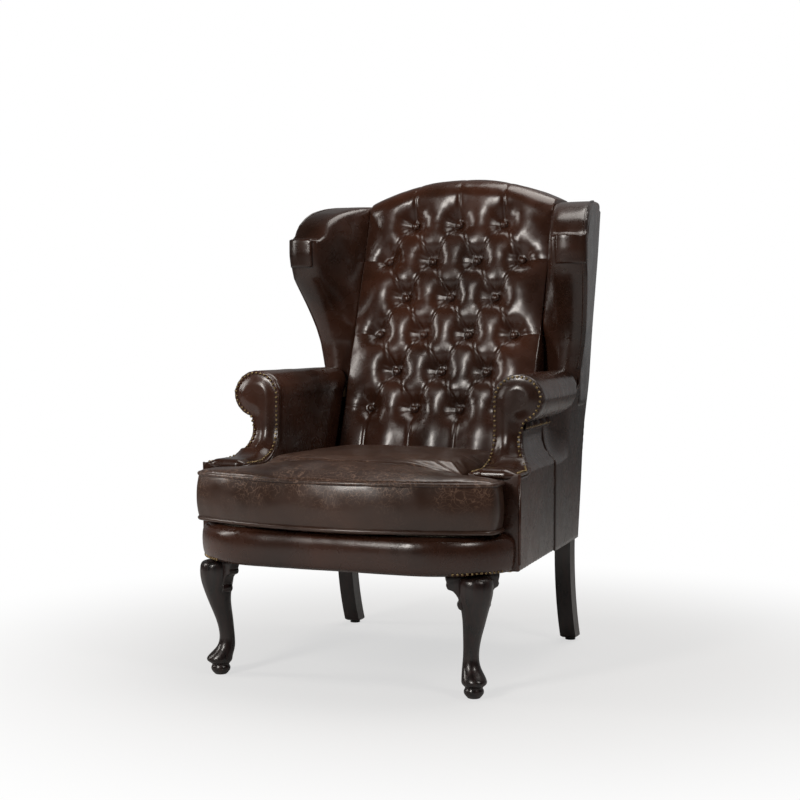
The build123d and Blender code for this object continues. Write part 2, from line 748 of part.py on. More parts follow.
# Wing leather: padded inside and front roll, outside panel, strap over the front roll
wing_outer_layer = wing_form - Pos(-leather, 0, 0) * wing_form
side_layer = (arm_form & along_x(arm_side_view(0, -soft_gap), 0, far_x)) - skin_core
side_behind_seam = side_layer & block(
    arm_inner_x + inside_arm_thickness, far_x, side_seam_y + soft_gap, far_x, 0, curl_end_z)
outside_wing_cover = side_behind_seam + wing_outer_layer
wing_pad = wing_form & Pos(-leather - soft_gap, 0, 0) * wing_form
wing_pad &= block(0, far_x, 0, far_x, arm_base_z, overall_height)
for timber in (upright, top_rail, lower_back_rail, arm_rail, wing_frame, offset(tacking_rail, soft_gap)):
    wing_pad -= timber
for timber in (arm_rail, tacking_rail, side_rail):
    outside_wing_cover -= timber
wing_pad -= outside_wing_cover
strap_zone = block(
    back_half_width + leather, far_x, wing_levels[-1][1] - overrun, wing_levels[-1][1] + wing_strap_depth_y,
    wing_strap_bottom_z, wing_strap_top_z,
)
wider = wing_strap_thickness
strap_outer = Part() + [
    Pos(x_shift, y_shift, 0) * (wing_form & strap_zone)
    for x_shift, y_shift in ((wider, 0), (-wider, 0), (0, -wider), (wider * diagonal, -wider * diagonal),
                             (-wider * diagonal, -wider * diagonal))
]
wing_strap = strap_outer - wing_form

# Inside back. Two crossing families of vaults make the diamonds.
# The crest has upright pleats and the sides have level ones.
back_plane = Plane(
    origin=(0, button_plane_y(tuft_top_row_z), tuft_top_row_z),
    x_dir=(1, 0, 0),
    z_dir=(0, -cos(radians(inside_back_recline)), sin(radians(inside_back_recline))),
)
row_pitch = tuft_row_pitch_z / cos(radians(inside_back_recline))
half_column = tuft_column_pitch / 2
vault_pitch = tuft_column_pitch * row_pitch / hypot(half_column, row_pitch)
vault_angle = degrees(atan2(row_pitch, half_column))
relief_depth = 2 * crest_round + puff_depth


def vaults(pitch, count, start, drop):
    """Profile of rounded puffs side by side, with creases between them."""
    arcs = []
    crease = valley_rise - drop
    low = start
    for number in range(count):
        high = low + pitch
        crown_point = ((low + high) / 2, puff_depth - drop)
        arcs.append(faceted_arc((low, crease), crown_point, (high, crease), roll_facets))
        low = high
    base = Polyline((low, crease), (low, -relief_depth), (start, -relief_depth), (start, crease))
    return outline(*arcs, base)


def vaults_across(turn, pitch, count, start, run_start, run_end, drop=0):
    """Rounded puffs whose creases run at an angle from the level line of the back."""
    across = back_plane.x_dir * cos(radians(turn)) + back_plane.y_dir * sin(radians(turn))
    along = back_plane.z_dir.cross(across)
    profile_plane = Plane(origin=back_plane.origin + along * run_end, x_dir=across, z_dir=along * -1)
    profile = profile_plane * vaults(pitch, count, start, drop)
    return extrude(profile, amount=run_end - run_start, dir=along * -1)


reach = tuft_rows * row_pitch + tuft_column_pitch
vault_count = 2 * tuft_rows + 2
vault_start = -vault_pitch * vault_count / 2
rising = vaults_across(vault_angle - 90, vault_pitch, vault_count, vault_start, -reach, reach)
falling = vaults_across(90 - vault_angle, vault_pitch, vault_count, vault_start, -reach, reach)
field_half_width = 1.5 * tuft_column_pitch
field_foot = -(tuft_rows + 1) * row_pitch
field = back_plane * Pos(0, field_foot / 2, 0) * Box(2 * field_half_width, -field_foot, 2 * relief_depth)
diamonds = rising & falling & field
crest_pleats_start = -crest_pleat_count * tuft_column_pitch
crest_pleats = vaults_across(
    0, tuft_column_pitch, 2 * crest_pleat_count, crest_pleats_start, 0, 2 * row_pitch, pleat_drop
)
side_room = back_plane * Pos(0, field_foot / 2, 0) * Box(reach, -field_foot, 2 * relief_depth)
side_pleats = side_room & vaults_across(
    -90, 2 * row_pitch, side_pleat_count, -row_pitch, field_half_width, 2 * field_half_width, pleat_drop
)
relief = diamonds + crest_pleats
relief += side_pleats
relief += mirror(side_pleats, about=Plane.YZ)

cover_view = Polygon(
    (puff_plane_y(back_cover_foot_z), back_cover_foot_z),
    (button_plane_y(back_cover_foot_z) + back_cover_depth, back_cover_foot_z),
    (button_plane_y(crest_hook_z) + back_cover_depth, crest_hook_z),
    (outside_back_y(crest_hook_z), crest_hook_z),
    (outside_back_y(overall_height), overall_height),
    (puff_plane_y(overall_height), overall_height),
    align=None,
)
inside_back_cover = along_x(cover_view, -back_half_width, back_half_width)
inside_back_cover &= along_y(crest_outline(back_half_width, 0, back_cover_foot_z), -far_x, far_x)
front_crest_edge = inside_back_cover.edges().filter_by(GeomType.LINE, reverse=True).sort_by(Axis.Y)[0]
inside_back_cover = fillet(front_crest_edge, crest_round)
rear_crest_edge = inside_back_cover.edges().filter_by(GeomType.LINE, reverse=True).sort_by(Axis.Y)[-1]
inside_back_cover = fillet(rear_crest_edge, crest_rear_round)
inside_back_cover &= relief
inside_back_cover -= top_rail

button_places = []
for row in range(button_rows):
    shift = 0 if row % 2 == 0 else half_column
    for column in (-2, -1, 0, 1, 2):
        x = column * tuft_column_pitch - shift
        if abs(x) <= field_half_width:
            button_places.append((x, -row * row_pitch))
        if column == 2 and shift and abs(x + tuft_column_pitch) <= field_half_width:
            button_places.append((x + tuft_column_pitch, -row * row_pitch))
button = loft([
    RegularPolygon(button_radius, button_facets),
    Pos(0, 0, button_height) * RegularPolygon(button_radius * diagonal, button_facets),
], ruled=True)
sink = loft([
    RegularPolygon(button_radius + soft_gap, button_facets),
    Pos(0, 0, puff_depth) * RegularPolygon(button_sink_radius, button_facets),
], ruled=True)
sinks = Part() + [back_plane * Pos(x, v, 0) * sink for x, v in button_places]
back_buttons = Part() + [back_plane * Pos(x, v, soft_gap) * button for x, v in button_places]
inside_back_cover -= sinks
inside_back_cover -= along_z(Rectangle(far_x, far_x), 0, back_cover_foot_z)

strap_plane_skin = upright_skin + upright_thickness
stuffing_view = Polygon(
    (button_plane_y(back_cover_foot_z) + back_cover_depth, back_cover_foot_z),
    (outside_back_y(back_cover_foot_z) - strap_plane_skin - back_strap_thickness, back_cover_foot_z),
    (outside_back_y(crest_hook_z) - strap_plane_skin - back_strap_thickness, crest_hook_z),
    (button_plane_y(crest_hook_z) + back_cover_depth, crest_hook_z),
    align=None,
)
back_stuffing = along_x(stuffing_view, -back_half_width, back_half_width)
outside_back_cover = raked_slab(
    -wing_rear_half_width, wing_rear_half_width, rail_bottom_z, crest_hook_z - soft_gap, 0, leather
)

# Straps
back_strap_x = back_half_width / 2
back_straps = Part()
for x in (-back_strap_x, 0, back_strap_x):
    back_straps += raked_slab(
        x - strap_width / 2, x + strap_width / 2, lower_rail_bottom_z, upright_top_z + strap_width,
        strap_plane_skin, back_strap_thickness,
    )
seat_straps = Part()
seat_strap_start = seat_front_y + border_thickness
seat_strap_end = seat_rear_y - upright_skin
strap_step = (2 * cushion_body_half_width - strap_width) / (seat_strap_count - 1)
for number in range(seat_strap_count):
    x = -cushion_body_half_width + number * strap_step
    limit = seat_plan(border_thickness)
    edge_x = x + strap_width
    corners = (
        (x, seat_strap_start), (edge_x, seat_strap_start), (edge_x, seat_strap_end), (x, seat_strap_end)
    )
    run = Polygon(*corners, align=None)
    seat_straps += along_z(run & limit, rail_top_z, rail_top_z + strap_thickness)
cross_span = rear_inner_y - corner_block_leg - post_rear_y
for number in range(cross_strap_count):
    y = post_rear_y + (number + 0.5) * cross_span / cross_strap_count
    half = side_x(y) - post_padding - rail_thickness / 2
    seat_straps += block(-half, half, y - strap_width / 2, y + strap_width / 2, rail_top_z + strap_thickness,
                         rail_top_z + 2 * strap_thickness)

# Platform under the cushion
ear_deck_y = post_front_y - soft_gap
front_deck = seat_plan(border_thickness + deck_edge_gap) & Polygon(
    (-far_x, seat_front_y),
    (far_x, seat_front_y),
    (far_x, ear_deck_y),
    (-far_x, ear_deck_y),
    align=None,
)
deck_front_y = post_front_y - deck_edge_gap
deck_rear_y = button_plane_y(deck_top_z)
rear_deck = Polygon(
    (-cushion_body_half_width, deck_front_y),
    (cushion_body_half_width, deck_front_y),
    (cushion_body_half_width, deck_rear_y),
    (-cushion_body_half_width, deck_rear_y),
    align=None,
)
deck_plan = front_deck + rear_deck
deck_pad = along_z(deck_plan, strap_top_z + soft_gap, deck_pad_top_z)
deck_cover = along_z(deck_plan, deck_pad_top_z, deck_top_z)
leg_clear = bracket_reach + knee_radius
dust_plan = seat_plan(dust_cover_inset)
for place in bolt_places:
    dust_plan -= Pos(place[0], place[1]) * Circle(leg_clear)
    dust_plan -= Pos(-place[0], place[1]) * Circle(leg_clear)
dust_cover = along_z(dust_plan, rail_bottom_z - dust_cover_thickness, rail_bottom_z)

# Seat cushion, with ears that reach in front of the arm posts
cushion_bottom_z = deck_top_z + soft_gap
cushion_top_z = cushion_bottom_z + cushion_height
ear_rear_y = post_front_y - cushion_gap - piping_radius


def cushion_plan(z, inset):
    """Plan of the cushion at height z, bowed in front, with rounded ears."""
    front_x = cushion_ear_half_width - inset
    front_y = cushion_ear_front_y + inset
    body_x = cushion_body_half_width - inset
    ear_y = ear_rear_y - inset
    rear_y = puff_plane_y(z) - cushion_gap - piping_radius - inset
    plan = outline(
        Polyline((front_x, front_y), (front_x, ear_y), (body_x, ear_y), (body_x, rear_y),
                 (-body_x, rear_y), (-body_x, ear_y), (-front_x, ear_y), (-front_x, front_y)),
        ThreePointArc((-front_x, front_y), (0, cushion_front_y + inset), (front_x, front_y)),
    )
    wide = front_x - soft_gap
    throats = [
        corner for corner in plan.vertices()
        if abs(corner.X) < body_x + soft_gap and corner.Y < ear_rear_y / 2
    ]
    plan = fillet(throats, cushion_throat_round)
    square = [corner for corner in plan.vertices() if abs(corner.X) > wide or corner.Y > rear_y - soft_gap]
    return fillet(square, cushion_corner_round)


crown_rear_y = puff_plane_y(cushion_top_z) - cushion_gap - piping_radius
crown_mid_y = (cushion_front_y + crown_rear_y) / 2
wide_x = cushion_ear_half_width + overrun
edge_top_z = cushion_top_z + cushion_edge_rise
rear_top_z = cushion_top_z + cushion_crown * side_crown_share
peak_z = cushion_top_z + cushion_crown
crown_across = outline(
    Polyline((cushion_ear_half_width, edge_top_z), (wide_x, edge_top_z), (wide_x, cushion_bottom_z),
             (-wide_x, cushion_bottom_z), (-wide_x, edge_top_z), (-cushion_ear_half_width, edge_top_z)),
    ThreePointArc((-cushion_ear_half_width, edge_top_z), (0, peak_z), (cushion_ear_half_width, edge_top_z)),
)
crown_along = outline(
    Polyline((crown_rear_y, rear_top_z), (crown_rear_y + overrun, rear_top_z),
             (crown_rear_y + overrun, cushion_bottom_z), (cushion_front_y - overrun, cushion_bottom_z),
             (cushion_front_y - overrun, edge_top_z), (cushion_front_y, edge_top_z)),
    ThreePointArc((cushion_front_y, edge_top_z), (crown_mid_y, peak_z), (crown_rear_y, rear_top_z)),
)
wall_inset = piping_radius + soft_gap
boxing = loft([
    Plane.XY.offset(cushion_bottom_z) * cushion_plan(cushion_bottom_z, wall_inset),
    Plane.XY.offset(cushion_top_z) * cushion_plan(cushion_top_z, wall_inset),
], ruled=True)
crown = along_z(cushion_plan(cushion_top_z, wall_inset), cushion_top_z, cushion_top_z + cushion_crown)
crown &= along_y(crown_across, cushion_front_y - overrun, crown_rear_y + overrun)
crown &= along_x(crown_along, -wide_x, wide_x)
cushion_form = boxing + crown
core_low_z = cushion_bottom_z + cushion_filling_inset
core_high_z = cushion_top_z - piping_radius
cushion_core = along_z(cushion_plan(cushion_bottom_z, cushion_filling_inset), core_low_z, core_high_z)


def piping_loop(z):
    """Cord along the edge of the cushion at height z."""
    path = (Plane.XY.offset(z) * cushion_plan(z, 0)).face().outer_wire()
    start = path.position_at(0)
    tangent = path.tangent_at(0)
    return sweep(Plane(origin=start, z_dir=tangent) * RegularPolygon(piping_radius, piping_sides), path=path)


cushion_piping = piping_loop(cushion_top_z - piping_radius) + piping_loop(cushion_bottom_z + piping_radius)
cushion_cover = cushion_form - cushion_core

# Holes for dowels and bolts
for_holes = {
    "front_seat_rail": front_rail,
    "back_seat_rail": back_rail,
    "top_back_rail": top_rail,
    "lower_back_rail": lower_back_rail,
}
for name, timber in for_holes.items():
    pieces[name] = timber - dowel_holes - bolt_holes
paired_timber = {
    "side_seat_rail": side_rail,
    "back_upright": upright,
    "arm_post": arm_post,
    "arm_rail": arm_rail,
    "front_leg": front_leg,
    "rear_leg": rear_leg,
}
for name, timber in paired_timber.items():
    keep_pair(name, timber - dowel_holes - bolt_holes)
keep_pair("arm_tacking_rail", tacking_rail)
keep_pair("wing_frame", wing_frame)
pieces["corner_blocks"] = right_blocks + mirror(right_blocks, about=Plane.YZ)
pieces["frame_dowels"] = dowels
pieces["leg_bolts"] = Part() + right_bolts + [mirror(bolt, about=Plane.YZ) for bolt in right_bolts]
pieces["knee_brackets"] = knee_brackets + mirror(knee_brackets, about=Plane.YZ)
pieces["rear_glides"] = glide + mirror(glide, about=Plane.YZ)
pieces["seat_webbing"] = seat_straps
pieces["back_webbing"] = back_straps
pieces["deck_pad"] = deck_pad
pieces["deck_cover"] = deck_cover
pieces["dust_cover"] = dust_cover
pieces["front_border"] = border
keep_pair("arm_pad", arm_pad)
keep_pair("arm_facing", facing)
keep_pair("arm_front_cover", arm_front_cover)
keep_pair("outside_arm_cover", outside_arm_cover)
keep_pair("arm_gimp", arm_gimp)
pieces["post_piping"] = post_piping_right + mirror(post_piping_right, about=Plane.YZ)
keep_pair("wing_pad", wing_pad)
keep_pair("wing_strap", wing_strap)
keep_pair("outside_wing_cover", outside_wing_cover)
pieces["inside_back_cover"] = inside_back_cover
pieces["back_stuffing"] = back_stuffing
pieces["back_buttons"] = back_buttons
pieces["outside_back_cover"] = outside_back_cover
pieces["seat_cushion_core"] = cushion_core
pieces["seat_cushion_cover"] = cushion_cover
pieces["seat_cushion_piping"] = cushion_piping

# The origin is on the floor, under the middle of the chair's length and width
boxes = [piece.bounding_box() for piece in pieces.values()]
middle_y = (min(box.min.Y for box in boxes) + max(box.max.Y for box in boxes)) / 2
os.makedirs("parts", exist_ok=True)
for name, piece in pieces.items():
    export_step(Pos(0, -middle_y, 0) * piece, os.path.join("parts", name + ".step"))
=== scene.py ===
"""Button-backed wing chair in dark hand-dyed leather: its looks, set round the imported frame."""
import math

import bmesh
import bpy
from mathutils import Matrix, Vector, kdtree, noise


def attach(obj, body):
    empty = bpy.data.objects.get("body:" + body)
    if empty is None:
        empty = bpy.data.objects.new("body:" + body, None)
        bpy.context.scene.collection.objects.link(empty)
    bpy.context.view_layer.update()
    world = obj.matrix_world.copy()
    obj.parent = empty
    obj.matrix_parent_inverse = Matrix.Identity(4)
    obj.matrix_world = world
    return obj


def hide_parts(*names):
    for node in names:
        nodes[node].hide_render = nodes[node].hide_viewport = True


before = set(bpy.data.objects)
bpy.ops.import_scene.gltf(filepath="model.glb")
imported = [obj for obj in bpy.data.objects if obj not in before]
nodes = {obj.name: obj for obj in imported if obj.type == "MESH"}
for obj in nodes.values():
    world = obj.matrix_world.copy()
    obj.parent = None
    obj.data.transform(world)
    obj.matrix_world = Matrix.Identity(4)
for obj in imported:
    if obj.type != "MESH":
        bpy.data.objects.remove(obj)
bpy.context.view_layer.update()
scene = bpy.context.scene

# Studio. The chair stands on a pale floor that runs back to white, with a soft window in front, one on each
# side and one overhead. The picture is taken from the right of centre, a little above seat height.
camera_dip, camera_turn = 3.916, 23.279
camera_data = bpy.data.cameras.new("camera")
camera_data.lens = 73.95
camera_data.shift_x = -0.0044
camera_data.shift_y = 0.0404
camera = bpy.data.objects.new("camera", camera_data)
camera.location = (1.451, -3.4037, 0.760)
camera.rotation_euler = (math.radians(90 - camera_dip), 0, math.radians(camera_turn))
scene.collection.objects.link(camera)
scene.camera = camera


def new_material(name):
    """Empty material with its tree and its Principled shader."""
    material = bpy.data.materials.new(name)
    material.use_nodes = True
    return material, material.node_tree, material.node_tree.nodes["Principled BSDF"]


def add_node(tree, kind, **values):
    """Node with its plain settings and input values filled in."""
    node = tree.nodes.new(kind)
    for key, value in values.items():
        if hasattr(node, key):
            setattr(node, key, value)
        else:
            node.inputs[key.replace("_", " ")].default_value = value
    return node


def wire(tree, *lines):
    """Join nodes, each line from one node's output to another node's input."""
    for start, output, end, socket in lines:
        tree.links.new(start.outputs[output], end.inputs[socket])


floor_form = bmesh.new()
bmesh.ops.create_grid(floor_form, x_segments=2, y_segments=2, size=9)
floor_mesh = bpy.data.meshes.new("floor")
floor_form.to_mesh(floor_mesh)
floor_form.free()
floor = bpy.data.objects.new("floor", floor_mesh)
scene.collection.objects.link(floor)
floor_paint, floor_tree, floor_shader = new_material("floor_paint")
floor_shader.inputs["Base Color"].default_value = (0.58, 0.58, 0.58, 1)
floor_shader.inputs["Roughness"].default_value = 0.9
floor_place = add_node(floor_tree, "ShaderNodeTexCoord")
floor_centre = add_node(floor_tree, "ShaderNodeVectorMath", operation="DISTANCE")
floor_centre.inputs[1].default_value = (0.1, 0.05, 0)
floor_edge = add_node(floor_tree, "ShaderNodeMapRange", interpolation_type="SMOOTHSTEP", From_Min=0.45,
                      From_Max=1.5, To_Min=0.62)
floor_glow = add_node(floor_tree, "ShaderNodeEmission", Color=(1, 1, 1, 1))
floor_path = add_node(floor_tree, "ShaderNodeLightPath")
floor_share = add_node(floor_tree, "ShaderNodeMath", operation="MULTIPLY")
floor_mix = add_node(floor_tree, "ShaderNodeMixShader")
wire(floor_tree, (floor_place, "Object", floor_centre, 0), (floor_centre, "Value", floor_edge, "Value"),
     (floor_edge, 0, floor_share, 0), (floor_path, "Is Camera Ray", floor_share, 1),
     (floor_share, 0, floor_mix, 0), (floor_shader, 0, floor_mix, 1), (floor_glow, 0, floor_mix, 2),
     (floor_mix, 0, floor_tree.nodes["Material Output"], "Surface"))
floor_mesh.materials.append(floor_paint)

world = bpy.data.worlds.new("studio")
world.use_nodes = True
scene.world = world
sky = world.node_tree
sky.nodes.clear()
heading = add_node(sky, "ShaderNodeTexCoord")
split = add_node(sky, "ShaderNodeSeparateXYZ")
rearward = add_node(sky, "ShaderNodeMath", operation="MULTIPLY_ADD")
rearward.inputs[1].default_value = 0.5
rearward.inputs[2].default_value = 0.5
rear_ramp = add_node(sky, "ShaderNodeValToRGB")
rear_ramp.color_ramp.elements[0].position = 0.5
rear_ramp.color_ramp.elements[0].color = (0.035, 0.035, 0.035, 1)
rear_ramp.color_ramp.elements[1].position = 0.95
rear_ramp.color_ramp.elements[1].color = (0.5, 0.5, 0.5, 1)
room_light = add_node(sky, "ShaderNodeBackground", Strength=0.42)
backdrop = add_node(sky, "ShaderNodeBackground", Color=(1, 1, 1, 1), Strength=1)
light_path = add_node(sky, "ShaderNodeLightPath")
sky_mix = add_node(sky, "ShaderNodeMixShader")
sky_out = add_node(sky, "ShaderNodeOutputWorld")
wire(sky, (heading, "Generated", split, 0), (split, "Y", rearward, 0), (rearward, 0, rear_ramp, 0),
     (rear_ramp, "Color", room_light, "Color"), (light_path, "Is Camera Ray", sky_mix, 0),
     (room_light, 0, sky_mix, 1), (backdrop, 0, sky_mix, 2), (sky_mix, 0, sky_out, "Surface"))


def soft_window(name, azimuth, height, distance, width, tall, watts):
    """Soft box with a warm light, aimed at the middle of the chair."""
    data = bpy.data.lights.new(name, "AREA")
    data.shape = "RECTANGLE"
    data.size = width
    data.size_y = tall
    data.energy = watts
    data.color = (1, 0.955, 0.905)
    lamp = bpy.data.objects.new(name, data)
    turn = math.radians(azimuth)
    lamp.location = (math.sin(turn) * distance, -math.cos(turn) * distance, height)
    aim = Vector((0, 0, 0.6)) - lamp.location
    lamp.rotation_euler = aim.to_track_quat("-Z", "Y").to_euler()
    scene.collection.objects.link(lamp)


soft_window("front_window", -14, 1.9, 3.2, 0.45, 1.4, 54)
soft_window("side_window", 62, 2.7, 2.8, 0.6, 0.9, 24)
soft_window("left_window", -70, 1.8, 3.0, 0.5, 1.6, 24)
soft_window("overhead", 150, 3.2, 0.9, 2.0, 2.0, 50)
scene.view_settings.view_transform = "Standard"

# Hidden frame. Beech rails, posts and blocks are left as planed, with the grain along them.
# The steel leg bolts are plain, and the straps are woven jute.
mix_share, mix_first, mix_second, mix_result = 0, 6, 7, 2


def new_group(name, colours, numbers):
    """Node group with colour and number inputs, which gives out a colour, a roughness and a height."""
    group = bpy.data.node_groups.new(name, "ShaderNodeTree")
    sockets = [(socket, "INPUT", "NodeSocketColor") for socket in colours]
    sockets += [(socket, "INPUT", "NodeSocketFloat") for socket in numbers]
    sockets += [("Colour", "OUTPUT", "NodeSocketColor"), ("Roughness", "OUTPUT", "NodeSocketFloat"),
                ("Height", "OUTPUT", "NodeSocketFloat")]
    for socket, way, kind in sockets:
        group.interface.new_socket(socket, in_out=way, socket_type=kind)
    return group, add_node(group, "NodeGroupInput"), add_node(group, "NodeGroupOutput")


def stretch(tree, low, high, to_low=0.0, to_high=1.0):
    """Node that stretches a value between two levels."""
    return add_node(tree, "ShaderNodeMapRange", From_Min=low, From_Max=high, To_Min=to_low, To_Max=to_high)


def surfaced(name, group, values, relief, pore_depth, coat_weight, coat_roughness):
    """Material that takes its colour, gloss and relief from a node group, with the group's node."""
    material, tree, shader = new_material(name)
    look = add_node(tree, "ShaderNodeGroup", node_tree=group)
    for socket, value in values.items():
        look.inputs[socket].default_value = value
    bump = add_node(tree, "ShaderNodeBump", Strength=relief, Distance=pore_depth)
    shader.inputs["Coat Weight"].default_value = coat_weight
    shader.inputs["Coat Roughness"].default_value = coat_roughness
    wire(tree, (look, "Colour", shader, "Base Color"), (look, "Roughness", shader, "Roughness"),
         (look, "Height", bump, "Height"), (bump, 0, shader, "Normal"))
    return material, look


grain_group, grain_in, grain_out = new_group("wood_grain", ("Ground", "Figure"), ("Scale",))
grain_place = add_node(grain_group, "ShaderNodeTexCoord")
grain_stretch = add_node(grain_group, "ShaderNodeMapping")
grain_stretch.inputs["Scale"].default_value = (9, 9, 1)
grain_noise = add_node(grain_group, "ShaderNodeTexNoise", Detail=6.0, Roughness=0.6, Distortion=0.6)
grain_ramp = add_node(grain_group, "ShaderNodeValToRGB")
grain_ramp.color_ramp.elements[0].position = 0.35
grain_ramp.color_ramp.elements[1].position = 0.68
grain_mix = add_node(grain_group, "ShaderNodeMix", data_type="RGBA")
grain_rough = stretch(grain_group, 0.3, 0.7, 0.25, 0.42)
wire(grain_group, (grain_place, "Object", grain_stretch, "Vector"), (grain_stretch, 0, grain_noise, "Vector"),
     (grain_in, "Scale", grain_noise, "Scale"), (grain_noise, "Fac", grain_ramp, 0),
     (grain_ramp, "Color", grain_mix, mix_share), (grain_in, "Ground", grain_mix, mix_first),
     (grain_in, "Figure", grain_mix, mix_second), (grain_noise, "Fac", grain_rough, "Value"),
     (grain_mix, mix_result, grain_out, "Colour"), (grain_rough, 0, grain_out, "Roughness"),
     (grain_noise, "Fac", grain_out, "Height"))


def wood(name, ground, figure, scale, relief, coat_weight=0.0, coat_roughness=0.03):
    """Wood with its own ground, figure, pore depth and polish."""
    values = {"Ground": ground, "Figure": figure, "Scale": scale}
    return surfaced(name, grain_group, values, relief, 0.0006, coat_weight, coat_roughness)[0]


def dress(node, material):
    """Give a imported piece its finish."""
    slots = nodes[node].data.materials
    slots.clear()
    slots.append(material)


beech = wood("beech", (0.50, 0.33, 0.18, 1), (0.62, 0.44, 0.27, 1), 14, 0.3)
beech_pieces = ("arm_post", "arm_rail", "arm_tacking", "back_seat", "back_upright", "corner", "front_seat",
                "frame_dowels", "lower_back", "side_seat", "top_back", "wing_frame")
for name in nodes:
    if name.startswith(beech_pieces):
        dress(name, beech)


def worn(name, colour, metallic, scale, low, high):
    """Plain material whose gloss wears unevenly between two levels."""
    material, tree, shader = new_material(name)
    shader.inputs["Metallic"].default_value = metallic
    shader.inputs["Base Color"].default_value = colour
    wear = add_node(tree, "ShaderNodeTexNoise", Scale=scale)
    gloss = stretch(tree, 0.0, 1.0, low, high)
    wire(tree, (wear, "Fac", gloss, "Value"), (gloss, 0, shader, "Roughness"))
    return material


def cloth(name, dark, light, threads, depth):
    """Plain weave of crossing threads."""
    material, tree, shader = new_material(name)
    place = add_node(tree, "ShaderNodeTexCoord")
    warp = add_node(tree, "ShaderNodeTexWave", bands_direction="X", Scale=threads, Distortion=0.6)
    weft = add_node(tree, "ShaderNodeTexWave", bands_direction="Y", Scale=threads, Distortion=0.6)
    crossing = add_node(tree, "ShaderNodeMath", operation="MAXIMUM")
    tone = add_node(tree, "ShaderNodeMix", data_type="RGBA")
    tone.inputs[mix_first].default_value = dark
    tone.inputs[mix_second].default_value = light
    bump = add_node(tree, "ShaderNodeBump", Strength=0.5, Distance=depth)
    shader.inputs["Roughness"].default_value = 0.9
    wire(tree, (place, "Object", warp, "Vector"), (place, "Object", weft, "Vector"), (warp, "Fac", crossing, 0),
         (weft, "Fac", crossing, 1), (crossing, 0, tone, mix_share), (tone, mix_result, shader, "Base Color"),
         (crossing, 0, bump, "Height"), (bump, 0, shader, "Normal"))
    return material


dress("leg_bolts", worn("bolt_steel", (0.42, 0.42, 0.44, 1), 1, 300.0, 0.25, 0.5))

jute = cloth("jute", (0.22, 0.15, 0.08, 1), (0.42, 0.31, 0.18, 1), 220, 0.0008)
lining = cloth("lining", (0.012, 0.011, 0.011, 1), (0.03, 0.027, 0.026, 1), 420, 0.0003)
felt = cloth("felt", (0.50, 0.45, 0.36, 1), (0.66, 0.61, 0.52, 1), 150, 0.001)
for name in ("seat_webbing", "back_webbing"):
    dress(name, jute)
for name in ("deck_pad", "back_stuffing", "seat_cushion_core"):
    dress(name, felt)
for name in ("dust_cover", "deck_cover"):
    dress(name, lining)

# Front legs. Each is carved from near-black mahogany: a knee, a slim ankle, a pad foot with a pointed toe,
# and a small turned bun under it. The leg swings out along the diagonal of its corner.
mahogany = wood("mahogany", (0.0042, 0.003, 0.0028, 1), (0.020, 0.0072, 0.006, 1), 10, 0.2, 0.35, 0.18)
foot_x, foot_y = 0.291, -0.3492
leg_rounds = (
    (0.250, 0.004, 0.034), (0.236, 0.006, 0.0362), (0.216, 0.006, 0.0362), (0.195, 0.0055, 0.0320),
    (0.172, 0.004, 0.0262), (0.150, -0.0005, 0.0228), (0.128, -0.007, 0.0196), (0.108, -0.0115, 0.0172),
    (0.090, -0.0142, 0.0162), (0.074, -0.0150, 0.0166), (0.060, -0.0128, 0.0190), (0.049, -0.0062, 0.0226),
    (0.040, -0.0005, 0.0252), (0.034, 0.0010, 0.0262), (0.030, 0.0010, 0.0252), (0.0262, 0.0005, 0.0215),
    (0.0232, 0, 0.0182), (0.0205, 0, 0.0180), (0.0180, 0, 0.0200), (0.0140, 0, 0.0210), (0.0095, 0, 0.0200),
    (0.0050, 0, 0.0165), (0.0015, 0, 0.0132), (0, 0, 0.0120),
)
leg_sides = 32
leaf_low, leaf_high, leaf_reach, leaf_depth = 0.165, 0.246, 1.35, 0.0026
toe_z, toe_height, toe_length = 0.037, 0.012, 0.16


def finish_piece(name, form, material, nodes_replaced, body="root"):
    """Turn a finished form into a piece, with its finish and its place in the chair."""
    bmesh.ops.recalc_face_normals(form, faces=form.faces)
    mesh = bpy.data.meshes.new(name)
    form.to_mesh(mesh)
    form.free()
    mesh.materials.append(material)
    mesh.shade_smooth()
    piece = bpy.data.objects.new(name, mesh)
    scene.collection.objects.link(piece)
    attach(piece, body)
    if nodes_replaced:
        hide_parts(*nodes_replaced)
    return piece


def knee_carving(height, turn):
    """Depth of the leaf that is carved on the knee, by height and by angle from the knee's ridge."""
    if height < leaf_low or height > leaf_high or abs(turn) > leaf_reach:
        return 0
    tip = (height - leaf_low) / (leaf_high - leaf_low)
    spread = 0.25 + 1.1 * math.sin(math.pi * min(tip, 0.8) / 1.6)
    leaf = max(0, 1 - (turn / spread) ** 2)
    veins = 0.5 + 0.5 * math.cos(turn * 9 + 5 * abs(turn) * tip)
    return leaf_depth * leaf * (0.35 + 0.65 * veins) * min(1, 4 * tip) * min(1, 6 * (1 - tip))


def ring_edges(ring):
    """Edges of a fresh ring of vertices."""
    return list({edge for vert in ring for edge in vert.link_edges})


def closed_stack(form, rings):
    """Skin a stack of vertex rings and close both its ends."""
    outlines = [ring_edges(ring) for ring in rings]
    bmesh.ops.contextual_create(form, geom=outlines[0])
    for low, high in zip(outlines, outlines[1:]):
        bmesh.ops.bridge_loops(form, edges=low + high)
    bmesh.ops.contextual_create(form, geom=outlines[-1])


def soften(piece, levels):
    """Round a piece's facets off."""
    softener = piece.modifiers.new("softener", "SUBSURF")
    softener.levels = softener.render_levels = levels


